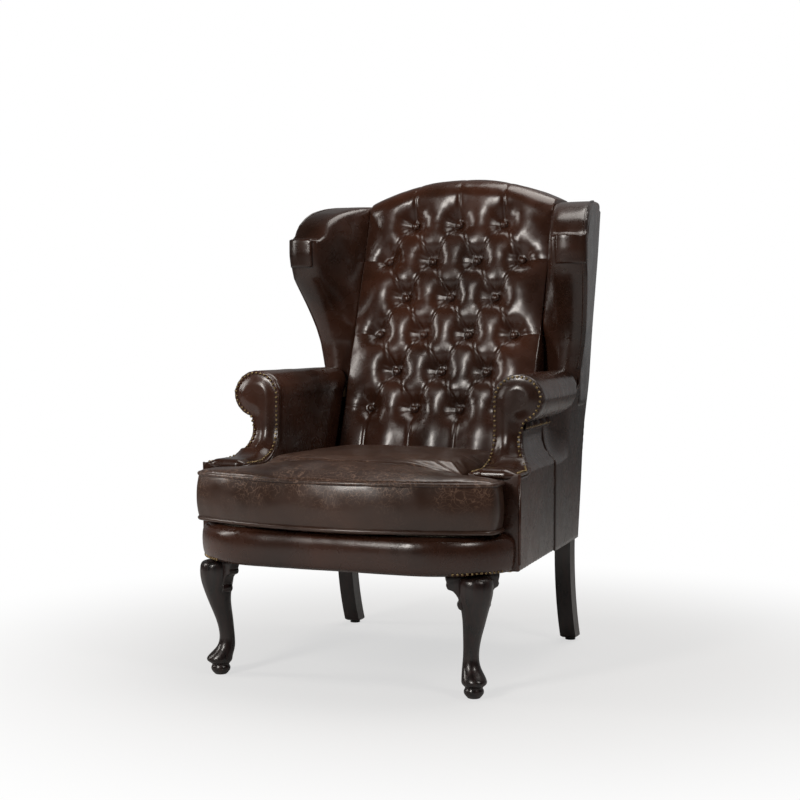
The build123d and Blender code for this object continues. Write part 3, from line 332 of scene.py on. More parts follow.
for side, name in ((1, "right"), (-1, "left")):
    form = bmesh.new()
    out = Vector((side, -1, 0)).normalized()
    rings = []
    for height, swing, radius in leg_rounds:
        centre = Vector((side * foot_x, foot_y, height)) + out * swing
        place = Matrix.Translation(centre)
        ring = bmesh.ops.create_circle(form, segments=leg_sides, radius=radius, matrix=place)["verts"]
        toe = toe_length * math.exp(-(((height - toe_z) / toe_height) ** 2))
        for vert in ring:
            arm = vert.co - centre
            along = arm.dot(out) / radius
            turn = math.acos(max(-1, min(1, along)))
            vert.co += arm * toe * max(0, along) ** 3
            vert.co += arm.normalized() * knee_carving(height, turn)
        rings.append(ring)
    closed_stack(form, rings)
    leg = finish_piece("front_leg_" + name, form, mahogany, ["front_leg_" + name])
    soften(leg, 2)

# Knee ears. A scrolled bracket is glued on each side of a knee, under the curve of the front rail.
ear_points = (
    (0.010, 0.000), (0.060, 0.000), (0.0585, -0.010), (0.0560, -0.0155), (0.0580, -0.0210), (0.0555, -0.0270),
    (0.0500, -0.0290), (0.0450, -0.0305), (0.0390, -0.0370), (0.0340, -0.0450), (0.0315, -0.0520),
    (0.0345, -0.0560), (0.0355, -0.0620), (0.0320, -0.0680), (0.0260, -0.0700), (0.0215, -0.0720),
    (0.010, -0.078),
)
ear_half_thickness = 0.0125
ear_round = 0.0045
ear_inset, ear_top_z = 0.002, 0.25
ear_form = bmesh.new()
for side in (1, -1):
    for sideways, forward in ((-0.90, -0.43), (0.43, 0.90)):
        along = Vector((side * sideways, forward, 0)).normalized()
        across = Vector((-along.y, along.x, 0))
        knee = Vector((side * (foot_x + ear_inset), foot_y - ear_inset, ear_top_z))
        ring = bmesh.ops.create_circle(ear_form, segments=len(ear_points), radius=1)["verts"]
        for vert, (x, z) in zip(ring, ear_points):
            vert.co = knee + along * x + Vector((0, 0, z)) - across * ear_half_thickness
        face = bmesh.ops.contextual_create(ear_form, geom=ring_edges(ring))["faces"]
        grown = bmesh.ops.extrude_face_region(ear_form, geom=face)
        moved = [item for item in grown["geom"] if isinstance(item, bmesh.types.BMVert)]
        bmesh.ops.translate(ear_form, verts=moved, vec=across * ear_half_thickness * 2)
ears = finish_piece("knee_ears", ear_form, mahogany, ["knee_brackets"])
carver = ears.modifiers.new("carver", "BEVEL")
carver.width = ear_round
carver.segments = 3
carver.limit_method = "ANGLE"

# Rear legs and glides keep their sawn shape: square mahogany, raked back, on small black glides.
dress("rear_glides", worn("glide_black", (0.012, 0.012, 0.012, 1), 0, 400.0, 0.4, 0.6))
for name in ("rear_leg_left", "rear_leg_right"):
    dress(name, mahogany)

# Leather. The hide is dyed by hand, so its brown is cloudy and redder where it is rubbed, with a fine
# pebbled grain and a waxed gloss. The seat is older leather, with pale cracks.
hide_group, hide_in, hide_out = new_group(
    "hide_surface", ("Deep dye", "Rubbed dye", "Crack colour"), ("Cracks", "Gloss"))
hide_place = add_node(hide_group, "ShaderNodeTexCoord")
cloud = add_node(hide_group, "ShaderNodeTexNoise", Scale=4.5, Detail=3.0, Roughness=0.5)
cloud_share = stretch(hide_group, 0.32, 0.72)
dye_mix = add_node(hide_group, "ShaderNodeMix", data_type="RGBA")
mottle = add_node(hide_group, "ShaderNodeTexNoise", Scale=28.0, Detail=2.0, Roughness=0.5)
mottle_tone = stretch(hide_group, 0.3, 0.7, 0.90, 1.08)
mottle_mix = add_node(hide_group, "ShaderNodeMix", data_type="RGBA", blend_type="MULTIPLY")
mottle_mix.inputs[mix_share].default_value = 1
pebble = add_node(hide_group, "ShaderNodeTexVoronoi", Scale=620.0, feature="F1")
wrinkle = add_node(hide_group, "ShaderNodeTexNoise", Scale=95.0, Detail=5.0, Roughness=0.6, Distortion=0.8)
relief = add_node(hide_group, "ShaderNodeMath", operation="MULTIPLY_ADD")
relief.inputs[1].default_value = 0.45
crack_bend = add_node(hide_group, "ShaderNodeTexNoise", Scale=22.0, Detail=3.0)
crack_place = add_node(hide_group, "ShaderNodeMix", data_type="RGBA", blend_type="ADD")
crack_place.inputs[mix_share].default_value = 0.075
crack_cells = add_node(hide_group, "ShaderNodeTexVoronoi", Scale=92.0, feature="DISTANCE_TO_EDGE")
crack_line = stretch(hide_group, 0.0, 0.06, 1.0, 0.0)
crack_patch = add_node(hide_group, "ShaderNodeTexNoise", Scale=12.0, Detail=3.0)
crack_patch_share = stretch(hide_group, 0.38, 0.54)
crack_part = add_node(hide_group, "ShaderNodeMath", operation="MULTIPLY")
crack_amount = add_node(hide_group, "ShaderNodeMath", operation="MULTIPLY")
crack_mix = add_node(hide_group, "ShaderNodeMix", data_type="RGBA")
rough_share = stretch(hide_group, 0.3, 0.7, 0.0, 0.10)
rough_add = add_node(hide_group, "ShaderNodeMath", operation="ADD")
for pattern in (cloud, mottle, pebble, wrinkle, crack_bend, crack_patch):
    wire(hide_group, (hide_place, "Object", pattern, "Vector"))
wire(hide_group, (cloud, "Fac", cloud_share, "Value"), (cloud_share, 0, dye_mix, mix_share),
     (hide_in, "Deep dye", dye_mix, mix_first), (hide_in, "Rubbed dye", dye_mix, mix_second),
     (mottle, "Fac", mottle_tone, "Value"), (dye_mix, mix_result, mottle_mix, mix_first),
     (mottle_tone, 0, mottle_mix, mix_second))
wire(hide_group, (hide_place, "Object", crack_place, mix_first), (crack_bend, "Color", crack_place, mix_second),
     (crack_place, mix_result, crack_cells, "Vector"), (crack_cells, "Distance", crack_line, "Value"),
     (crack_patch, "Fac", crack_patch_share, "Value"), (crack_line, 0, crack_part, 0),
     (crack_patch_share, 0, crack_part, 1), (crack_part, 0, crack_amount, 0),
     (hide_in, "Cracks", crack_amount, 1), (crack_amount, 0, crack_mix, mix_share),
     (mottle_mix, mix_result, crack_mix, mix_first), (hide_in, "Crack colour", crack_mix, mix_second))
wire(hide_group, (mottle, "Fac", rough_share, "Value"), (rough_share, 0, rough_add, 0),
     (hide_in, "Gloss", rough_add, 1), (wrinkle, "Fac", relief, 0), (pebble, "Distance", relief, 2),
     (crack_mix, mix_result, hide_out, "Colour"), (rough_add, 0, hide_out, "Roughness"),
     (relief, 0, hide_out, "Height"))


def leather(name, deep, rubbed, roughness):
    """Leather of one dye and gloss, and the node that carries its look."""
    values = {"Deep dye": deep, "Rubbed dye": rubbed, "Crack colour": (0.22, 0.135, 0.095, 1), "Cracks": 0.0,
              "Gloss": roughness}
    return surfaced(name, hide_group, values, 0.10, 0.0007, 0.25, 0.16)


brown_hide = leather("brown_hide", (0.019, 0.0085, 0.0052, 1), (0.060, 0.0205, 0.0105, 1), 0.22)[0]
seat_hide, seat_look = leather("seat_hide", (0.024, 0.0115, 0.0072, 1), (0.055, 0.0245, 0.0145, 1), 0.29)
seat_tree = seat_hide.node_tree
wear_place = add_node(seat_tree, "ShaderNodeTexCoord")
wear_split = add_node(seat_tree, "ShaderNodeSeparateXYZ")
wear_front = stretch(seat_tree, -0.16, -0.36, 0.15, 1.0)
wear_high = stretch(seat_tree, 0.375, 0.425, 0.1, 1.0)
wear = add_node(seat_tree, "ShaderNodeMath", operation="MULTIPLY")
wire(seat_tree, (wear_place, "Object", wear_split, 0), (wear_split, "Y", wear_front, "Value"),
     (wear_split, "Z", wear_high, "Value"), (wear_front, 0, wear, 0), (wear_high, 0, wear, 1),
     (wear, 0, seat_look, "Cracks"))

# Tufted back. One large hide is pulled down to a button at each crossing, so it stands up in diamonds with
# sharp folds between them. Upright pleats run over the crest, and level ones run to the sides.
half_width, half_column, row_step = 0.236, 0.057, 0.0920
recline, rear_rake = math.radians(18), math.radians(11.7)
rail_bottom_z, back_foot_y = 0.25, 0.28835
top_row = Vector((0, 0.3132, 0.987))
up_back = Vector((0, math.sin(recline), math.cos(recline)))
face_out = Vector((0, -math.cos(recline), math.sin(recline)))
puff = 0.032
pit_depth, pit_reach, dish_reach, pit_limit = 0.0165, 0.024, 0.047, 0.12
side_fall, side_start, side_width = 0.020, 0.160, 0.076
fold_width, crest_fold_width, side_fold_width, foot_fold_width = 0.0030, 0.0038, 0.0035, 0.0040
crest_radius, crest_centre_z = 0.5382, 0.5618
front_round, rear_round = 0.062, 0.034
front_sweep, rear_sweep = math.radians(72), math.radians(101.7)
button_spots = []
for row in range(6):
    for step in ((-2, 0, 2), (-3, -1, 1, 3))[row % 2]:
        button_spots.append((step * half_column, row * row_step))


def smooth_step(value):
    """Ease from 0 to 1."""
    value = max(0, min(1, value))
    return value * value * (3 - 2 * value)


def groove(distance, width):
    """Sharp-bottomed fold in the hide, by distance from its line."""
    return math.exp(-abs(distance) / width)


def off_line(value):
    """Distance from the nearest line of a pattern with a line at every whole number."""
    return abs((value + 0.5) % 1 - 0.5)


def tuft_depth(x, down):
    """How far the hide is drawn in at x, and at a distance down from the top row of buttons."""
    u, w = x / half_column, down / row_step
    depth, nearest = 0, 1
    for bx, bd in button_spots:
        gap = math.hypot(x - bx, (down - bd) * (1.15 if down > bd else 0.85))
        if gap < pit_limit:
            depth += pit_depth * (math.exp(-((gap / pit_reach) ** 2)) + math.exp(-((gap / dish_reach) ** 2)))
        nearest = min(nearest, gap)
    near_button = math.exp(-nearest / 0.030)
    depth += side_fall * (max(0, abs(x) - side_start) / side_width) ** 1.5 * smooth_step((w + 0.9) / 0.9)
    if w < 0:
        fade = 1 - smooth_step((-w - 0.35) / 0.8)
        crest_pleat = groove(off_line(u / 2) * 2 * half_column, crest_fold_width)
        return depth + (0.0012 + 0.0050 * fade) * crest_pleat * (abs(u) < 3)
    if w > 5:
        across = off_line((u + 1) / 2) * 2 * half_column
        belly = math.cos(math.pi * min(1, across / half_column)) * 0.5 + 0.5
        return depth + 0.010 * belly * min(1, w - 5) + 0.007 * groove(across, foot_fold_width)
    if abs(u) >= 3:
        side_pleat = groove(off_line((w + 1) / 2) * 2 * row_step, side_fold_width)
        return depth + (0.0015 + 0.0055 * near_button) * side_pleat
    lean = 2 * half_column * row_step / math.hypot(half_column, row_step)
    folds = sum(groove(off_line(way / 2) * lean, fold_width) for way in (u + w, w - u))
    return depth + (0.0034 + 0.0085 * near_button) * folds


def outside_back_y(z):
    """Outside of the back frame at height z."""
    return back_foot_y + (z - rail_bottom_z) * math.tan(rear_rake)


def crest_path(top_z, run):
    """Point and outward direction on the outer line of the back, at a run up from the top row of buttons."""
    plane_start = top_row + face_out * puff
    to_corner = (top_z - plane_start.z) / up_back.z
    front_trim = front_round * math.tan(front_sweep / 2)
    straight = to_corner - front_trim
    if run < straight:
        return plane_start + up_back * run, face_out
    run -= straight
    start = plane_start + up_back * straight
    if run < front_round * front_sweep:
        turn = run / front_round
        centre = start - face_out * front_round
        out = Vector((0, -math.cos(recline + turn), math.sin(recline + turn)))
        return centre + out * front_round, out
    run -= front_round * front_sweep
    rear_y = outside_back_y(top_z) + 0.0015
    front_y = plane_start.y + up_back.y * to_corner + front_trim
    level = max(0.002, rear_y - rear_round * math.tan(rear_sweep / 2) - front_y)
    if run < level:
        return Vector((0, front_y + run, top_z)), Vector((0, 0, 1))
    run -= level
    centre = Vector((0, front_y + level, top_z - rear_round))
    turn = min(run / rear_round, rear_sweep)
    out = Vector((0, math.sin(turn), math.cos(turn)))
    past = max(0, run - rear_round * rear_sweep)
    return centre + out * rear_round + Vector((0, -math.sin(rear_rake), -math.cos(rear_rake))) * past, out


def give_wall(piece, thickness, offset=-1):
    """Give an open hide or cloth its thickness."""
    wall = piece.modifiers.new("wall", "SOLIDIFY")
    wall.thickness = thickness
    wall.offset = offset


columns, rows = 149, 290
field_foot, fine_run, crest_run, fine_share = 0.680, 0.800, 0.225, 0.87
side_share, edge_round, edge_depth = 0.93, 0.009, 0.010
ray_depth, ray_reach, swell_depth, ripple_depth, hide_thickness = 0.0009, 0.020, 0.0018, 0.0003, 0.003
turned_depth, turned_width = 0.075, 0.0088
tuft_form = bmesh.new()
bmesh.ops.create_grid(tuft_form, x_segments=columns, y_segments=rows, size=1)
for vert in tuft_form.verts:
    across = vert.co.x / side_share
    side = math.copysign(1, across)
    x = side * min(1, abs(across)) * half_width
    beyond = max(0, abs(across) - 1) * half_width
    up = (vert.co.y + 1) / 2
    if up < fine_share:
        run = up * fine_run / fine_share
    else:
        run = fine_run + (up - fine_share) / (1 - fine_share) * crest_run
    run -= field_foot
    top_z = crest_centre_z + math.sqrt(crest_radius ** 2 - x ** 2)
    point, out = crest_path(top_z, run)
    sink = min(tuft_depth(x, -run), puff)
    gap, bx, bd = min((math.hypot(x - bx, -run - bd), bx, bd) for bx, bd in button_spots)
    if gap < 0.06:
        angle = math.atan2(-run - bd, x - bx)
        rays = math.sin(angle * 11 + bx * 90) + 0.7 * math.sin(angle * 17 + bd * 70)
        sink -= ray_depth * rays * smooth_step(gap / 0.008) * math.exp(-gap / ray_reach)
    sink += swell_depth * noise.noise(Vector((x, run, 0)) * 13)
    sink += ripple_depth * noise.noise(Vector((x, run, 3)) * 50)
    edge_turn = min(1, beyond / edge_round)
    sink += edge_depth * (1 - math.sqrt(1 - edge_turn ** 2))
    sink += turned_depth * max(0, beyond - edge_round) / turned_width
    sink *= 1 if beyond < edge_round or run < 0 else max(0.3, 1 - run / 0.1)
    vert.co = point - out * sink + Vector((x + side * 0.0012 * edge_turn, 0, 0))
tufts = finish_piece("tufted_back", tuft_form, brown_hide, ["inside_back_cover"])
give_wall(tufts, hide_thickness)

# Buttons. Each is a small leather-covered dome, sewn through the back so that it sits deep in its pit.
button_radius, button_dome, button_lift = 0.0092, 0.62, 0.003
button_form = bmesh.new()
facing = face_out.to_track_quat("Z", "Y").to_matrix().to_4x4()
for x, down in button_spots:
    seat_point = top_row - up_back * down + face_out * button_lift + Vector((x, 0, 0))
    place = Matrix.Translation(seat_point) @ facing @ Matrix.Diagonal((1, 1, button_dome, 1))
    bmesh.ops.create_uvsphere(button_form, u_segments=18, v_segments=10, radius=button_radius, matrix=place)
buttons = finish_piece("leather_buttons", button_form, brown_hide, ["back_buttons"])

# Wings. Each is one padded form with a fat front roll that sweeps down to the arm. The hide is drawn round
# the roll, a piped seam follows its outer edge, and a strap of leather is lapped over the roll near the top.
wing_front = (
    (0.560, 0.2500), (0.610, 0.2500), (0.653, 0.2500), (0.705, 0.2474), (0.740, 0.2364), (0.769, 0.2204),
    (0.801, 0.2014), (0.828, 0.1824), (0.856, 0.1634), (0.885, 0.1534), (0.916, 0.1484), (0.950, 0.1484),
    (0.967, 0.1544), (0.986, 0.1684), (1.004, 0.1914), (1.017, 0.2184), (1.027, 0.2574), (1.033, 0.2974),
    (1.038, 0.3574), (1.041, 0.4204),
)
wing_spread = ((0.560, 0.3235), (0.646, 0.325), (0.700, 0.334), (0.770, 0.347), (0.860, 0.366), (0.910, 0.369))
wing_roll = ((0.646, 0.066), (0.700, 0.070), (0.770, 0.076), (0.860, 0.086), (0.910, 0.090))
wing_round = ((0.646, 0.032), (0.700, 0.031), (0.770, 0.030), (0.860, 0.029), (0.910, 0.028))
wing_inner_x, wing_rear_x, wing_lead_y = 0.2375, 0.309, 0.1484
wing_top_z, wing_cap_z, wing_crown_z = 0.93, 0.94, 0.955
crease_foot_y, crease_lead, roll_squareness = 0.07375, 0.005, 0.85
first_turn = 0.24 * math.pi
inner_steps, crease_steps, roll_steps, outer_steps, rear_steps = 8, 12, 20, 12, 6


def read_table(table, value):
    """Value of a table at a place between its rows."""
    if value <= table[0][0]:
        return table[0][1]
    for low, high in zip(table, table[1:]):
        if value <= high[0]:
            return low[1] + (high[1] - low[1]) * (value - low[0]) / (high[0] - low[0])
    return table[-1][1]


wing_top = tuple((y, z) for z, y in wing_front[11:])


def between(first, last, steps):
    """Plan points along a straight line, the last one left out."""
    return [(first[0] + (last[0] - first[0]) * step / steps, first[1] + (last[1] - first[1]) * step / steps)
            for step in range(steps)]


def wing_ring(z):
    """Plan of the right wing at height z, from its inner rear corner round the roll to the rear again."""
    spread, roll = read_table(wing_spread, z), read_table(wing_roll, z)
    rear = outside_back_y(z) - 0.004
    start = min(read_table(wing_front, z), rear - 0.01)
    front = start - read_table(wing_round, z)
    crease = crease_foot_y + math.tan(recline) * (z - rail_bottom_z) - crease_lead
    crease = min(max(crease, start), rear - 0.004)
    reach = (start - wing_lead_y) / (rear - wing_lead_y) if z > wing_top_z else 0
    spread += (wing_rear_x - spread) * reach
    roll *= 1 - 0.2 * reach
    roll_mid = spread - roll / 2

    def roll_point(turn):
        """Point of the front roll, by its turn from the inner face."""
        return roll_mid - roll / 2 * math.cos(turn), start - (start - front) * math.sin(turn) ** roll_squareness

    points = between((wing_inner_x, rear), (wing_inner_x, crease), inner_steps)
    for step, (x, y) in enumerate(between((wing_inner_x, crease), roll_point(first_turn), crease_steps)):
        points.append((x - 0.004 * math.sin(math.pi * step / crease_steps), y))
    turns = [first_turn + (math.pi - first_turn) * step / roll_steps for step in range(roll_steps)]
    points += [roll_point(turn) for turn in turns]
    points += between((spread, start), (wing_rear_x, rear), outer_steps)
    points += between((wing_rear_x, rear), (wing_inner_x, rear), rear_steps)
    return [Vector((x, y, min(z, read_table(wing_top, y) + 0.001) if z > wing_cap_z else z)) for x, y in points]


wing_heights = [0.560 + 0.0125 * step for step in range(32)]
wing_heights += [0.9575, 0.965, 0.973, 0.981, 0.989, 0.997, 1.004, 1.010, 1.015, 1.020, 1.024, 1.0275, 1.0305,
                 1.033, 1.035, 1.037, 1.0385, 1.040, 1.041]
piping_step = inner_steps + crease_steps + roll_steps - 4


def cord(name, points, radius, material, replaced, body, closed=True):
    """Piped seam: a leather-covered cord along a line."""
    data = bpy.data.curves.new(name, "CURVE")
    data.dimensions = "3D"
    data.bevel_depth = radius
    data.bevel_resolution = 3
    data.use_fill_caps = True
    line = data.splines.new("POLY")
    line.points.add(len(points) - 1)
    for spot, point in zip(line.points, points):
        spot.co = (*point, 1)
    line.use_cyclic_u = closed
    drawn = bpy.data.objects.new(name + "_line", data)
    scene.collection.objects.link(drawn)
    graph = bpy.context.evaluated_depsgraph_get()
    mesh = bpy.data.meshes.new_from_object(drawn.evaluated_get(graph))
    bpy.data.objects.remove(drawn)
    form = bmesh.new()
    form.from_mesh(mesh)
    bmesh.ops.remove_doubles(form, verts=form.verts, dist=0.00001)
    finish_piece(name, form, material, replaced, body=body)


def turned(point, side):
    """Point of the right side, or its mirrored partner on the left."""
    return Vector((point[0] * side, point[1], point[2]))


def eased(form, passes, above=0):
    """Even out the part of a form above a height."""
    for count in range(passes):
        high = [vert for vert in form.verts if vert.co.z > above]
        bmesh.ops.smooth_vert(form, verts=high, factor=0.5, use_axis_x=True, use_axis_y=True, use_axis_z=True)
    form.normal_update()
    return form


def wrapped(form, skin, passes):
    """One smooth closed skin round everything in a form."""
    mesh = bpy.data.meshes.new("rough")
    form.to_mesh(mesh)
    form.free()
    rough = bpy.data.objects.new("rough", mesh)
    scene.collection.objects.link(rough)
    wrap = rough.modifiers.new("wrap", "REMESH")
    wrap.mode = "VOXEL"
    wrap.voxel_size = skin
    graph = bpy.context.evaluated_depsgraph_get()
    skin_mesh = bpy.data.meshes.new_from_object(rough.evaluated_get(graph))
    bpy.data.objects.remove(rough)
    form = bmesh.new()
    form.from_mesh(skin_mesh)
    return eased(form, passes)


wing_skin, wing_core_x, wing_cord_radius = 0.004, 0.30, 0.0024
strap_low_z, strap_width, strap_lift, strap_thickness, strap_core_x = 0.8855, 0.067, 0.0030, 0.0016, 0.324
strap_start, strap_end = inner_steps + crease_steps + 3, inner_steps + crease_steps + roll_steps - 1
for side, name in ((1, "right"), (-1, "left")):
    form = bmesh.new()
    rings = []
    for z in wing_heights:
        plan = wing_ring(z)
        rings.append(bmesh.ops.create_circle(form, segments=len(plan), radius=1)["verts"])
        for vert, point in zip(rings[-1], plan):
            vert.co = turned(point, side)
    closed_stack(form, rings)
    bmesh.ops.recalc_face_normals(form, faces=form.faces)
    form = eased(wrapped(form, wing_skin, 7), 16, wing_crown_z)
    for vert in form.verts:
        vert.co += vert.normal * (0.0014 + 0.0018 * noise.noise(vert.co * 9 + Vector((side, 0, 0))))
    wing = finish_piece("wing_" + name, form, brown_hide, ["wing_pad_" + name])
    soften(wing, 1)
    seam = []
    for z in wing_heights[7:-2]:
        point = wing_ring(z)[piping_step]
        out = (point - Vector((wing_core_x, point.y + 0.05, point.z))).normalized()
        seam.append(turned(point + out * 0.0006, side))
    cord("wing_piping_" + name, seam, wing_cord_radius, brown_hide, [], "root", closed=False)
    strap_form = bmesh.new()
    bmesh.ops.create_grid(strap_form, x_segments=strap_end - strap_start, y_segments=12, size=1)
    for vert in strap_form.verts:
        step = (vert.co.x + 1) / 2 * (strap_end - strap_start) + strap_start
        z = strap_low_z + strap_width * (vert.co.y + 1) / 2
        ring = wing_ring(z)
        low = ring[int(step)]
        point = low + (ring[min(int(step) + 1, len(ring) - 1)] - low) * (step - int(step))
        ahead = (point.y - read_table(wing_front, z) - 0.02) * 1.4
        out = Vector((point.x - strap_core_x, ahead, 0)).normalized()
        vert.co = turned(point + out * strap_lift, side)
    strap = finish_piece("wing_strap_hide_" + name, strap_form, brown_hide, ["wing_strap_" + name])
    give_wall(strap, strap_thickness)

# Outside of the wings. One panel a side runs from the seam behind the arm back to the rear corner, and up
# the outside of the wing. It is lined, drawn flat and sewn to the wing's piping.


def side_x(y):
    """Outer face of the side of the chair at depth y."""
    return 0.378 - 0.0971 * (y + 0.43265)


neck_profile = ((0.450, 0), (0.4575, 0.0100), (0.466, 0.0170), (0.476, 0.0220), (0.490, 0.0268),
                (0.515, 0.0300))


def neck_depth(z):
    """How far the side is drawn in under the arm's roll at height z."""
    return read_table(neck_profile, z)


seam_y, seam_lap = 0.0506, 0.012
panel_low_z, panel_height, panel_lift = 0.2505, 0.790, 0.0022
for side, name in ((1, "right"), (-1, "left")):
    form = bmesh.new()
    bmesh.ops.create_grid(form, x_segments=44, y_segments=110, size=1)
    for vert in form.verts:
        z = panel_low_z + panel_height * (vert.co.y + 1) / 2
        share = (vert.co.x + 1) / 2
        spread = read_table(wing_spread, z)
        rear = outside_back_y(z)
        start = min(read_table(wing_front, z) - 0.004, rear - 0.01)
        plane_start = min(start, wing_lead_y) if z > wing_top_z else start
        edge = seam_y - seam_lap + (start - seam_y) * smooth_step((z - 0.535) / 0.075)
        y = edge + (rear - edge) * share
        low_x = side_x(y) - neck_depth(z) * (1 - smooth_step((y - 0.06) / 0.13))
        high_x = wing_rear_x + (spread - wing_rear_x) * min(1, (rear - y) / (rear - plane_start))
        past_seam = max(smooth_step((y - seam_y) / 0.12), smooth_step((z - 0.575) / 0.03))
        blend = smooth_step((z - 0.47) / 0.17) * past_seam
        x = low_x + (high_x - low_x) * blend + panel_lift - 0.0010 * (1 - smooth_step(share / 0.04))
        x -= 0.006 * (1 - smooth_step(share / 0.03)) * smooth_step((z - 0.60) / 0.05)
        below = max(0, read_table(wing_top, y) - z) if z > wing_cap_z else 0.03
        x -= 0.018 * (1 - smooth_step(below / 0.022))
        x += 0.0011 * noise.noise(Vector((side * 3, y * 9, z * 6)))
        vert.co = turned((x, y, min(z, read_table(wing_top, y) if z > wing_cap_z else z)), side)
    panel = finish_piece("outside_wing_" + name, form, brown_hide, ["outside_wing_cover_" + name])
    give_wall(panel, hide_thickness, -side)

# Arms. The inside of each arm is padded and rolls over the top. The roll ends in a scrolled facing, nailed
# on with brass, and the facing sweeps down and forward to the arm's foot.
arm_inner_x, head_front_y, post_front_y = 0.253, -0.14665, -0.28715
arm_foot_z, arm_neck_z, arm_top_z, arm_swell = 0.450, 0.588, 0.647, 0.017
sweep_y, sweep_z, sweep_radius = -0.22165, 0.525, 0.075


def drawn_hide(name, covered, replaced, skin, passes, unevenness, lift=None):
    """Leather drawn over padding, as one smooth closed skin."""
    form = bmesh.new()
    for node in covered:
        form.from_mesh(nodes[node].data)
    bmesh.ops.remove_doubles(form, verts=form.verts, dist=0.00002)
    form = wrapped(form, skin, passes)
    for vert in form.verts:
        rise = noise.noise(vert.co * 11) + 0.5 * noise.noise(vert.co * 27 + Vector((3, 1, 2)))
        vert.co += vert.normal * (rise * unevenness + (lift(vert) if lift else 0))
    piece = finish_piece(name, form, brown_hide, replaced)


def arc_through(first, middle, last, steps):
    """Points along the circle through three points, the last one left out."""
    (ax, az), (bx, bz), (cx, cz) = first, middle, last
    twice = 2 * (ax * (bz - cz) + bx * (cz - az) + cx * (az - bz))
    aa, bb, cc = ax * ax + az * az, bx * bx + bz * bz, cx * cx + cz * cz
    ox = (aa * (bz - cz) + bb * (cz - az) + cc * (az - bz)) / twice
    oz = (aa * (cx - bx) + bb * (ax - cx) + cc * (bx - ax)) / twice
    radius = math.hypot(ax - ox, az - oz)
    turns = [math.atan2(z - oz, x - ox) for x, z in (first, middle, last)]
    while turns[1] - turns[0] > math.pi:
        turns[1] -= 2 * math.pi
    while turns[1] - turns[0] < -math.pi:
        turns[1] += 2 * math.pi
    while turns[2] - turns[1] > math.pi:
        turns[2] -= 2 * math.pi
    while turns[2] - turns[1] < -math.pi:
        turns[2] += 2 * math.pi
    return [(ox + radius * math.cos(turns[0] + (turns[2] - turns[0]) * step / steps),
             oz + radius * math.sin(turns[0] + (turns[2] - turns[0]) * step / steps)) for step in range(steps)]


def facing_edge(inset):
    """Edge of the arm's facing in front view, from its inner foot over the scroll to its outer foot."""
    outer = side_x(head_front_y) - inset
    inner = arm_inner_x + inset
    head = (outer + arm_swell, 0.600)
    edge = [(inner, arm_foot_z + (arm_neck_z - arm_foot_z) * step / 8) for step in range(8)]
    edge += arc_through((inner, arm_neck_z), ((inner + outer + arm_swell) / 2, arm_top_z - inset), head, 16)
    curl_end = (outer - 0.028 + inset * 1.4, 0.543 + inset)
    edge += arc_through(head, (outer + 0.003, 0.560 + inset * 0.6), curl_end, 8)
    edge += [(outer - 0.028 + inset * 1.2, 0.542 + inset * 0.4)]
    edge += arc_through((outer - 0.030, 0.515), (outer - 0.022, 0.476), (outer + 0.004, arm_foot_z), 8)
    edge += [(outer + 0.004, arm_foot_z)]
    return edge


facing_rim = facing_edge(0)
rim_share = 10
rim_tree = kdtree.KDTree(rim_share * len(facing_rim))
for index, (start, end) in enumerate(zip(facing_rim, facing_rim[1:])):
    for step, (x, z) in enumerate(between(start, end, rim_share)):
        rim_tree.insert((x, 0, z), index * rim_share + step)
rim_tree.balance()
padding_depth, padding_start, padding_slope = 0.0085, 0.006, 0.026


def facing_fullness(vert):
    """Fullness of the facing's padding at a vertex, none at its nailed edge."""
    facing = smooth_step((max(-vert.normal.y, vert.normal.z) - 0.45) / 0.35)
    x, z = abs(vert.co.x), vert.co.z
    near = rim_tree.find((x, 0, z))[2]
    if z < arm_foot_z + 0.02:
        near = min(x - arm_inner_x, side_x(vert.co.y) - x)
    return padding_depth * facing * smooth_step((near - padding_start) / padding_slope)


def front_of_arm(z):
    """Depth of the facing at height z, and the way it faces."""
    if z >= sweep_z:
        return head_front_y, Vector((0, -1, 0))
    drop = min(sweep_radius, sweep_z - z)
    y = sweep_y + math.sqrt(sweep_radius ** 2 - drop ** 2)
    return y, Vector((0, sweep_y - y, sweep_z - z)).normalized()


brass = worn("aged_brass", (0.24, 0.175, 0.09, 1), 1, 260.0, 0.22, 0.42)
nail_pitch, nail_radius, nail_dome = 0.0102, 0.0031, 0.7


def nail_row(name, line):
    """Row of domed brass nails along a line of points and the ways that the leather faces there."""
    form = bmesh.new()
    spare = 0
    for (start, out), (end, out_end) in zip(line, line[1:]):
        span = (end - start).length
        along = spare
        while along < span:
            spot = start + (end - start) * along / span
            facing = (out + (out_end - out) * along / span).normalized().to_track_quat("Z", "Y")
            place = Matrix.Translation(spot) @ facing.to_matrix().to_4x4()
            place @= Matrix.Diagonal((1, 1, nail_dome, 1))
            bmesh.ops.create_uvsphere(form, u_segments=8, v_segments=5, radius=nail_radius, matrix=place)
            along += nail_pitch
        spare = along - span
    finish_piece(name, form, brass, [])


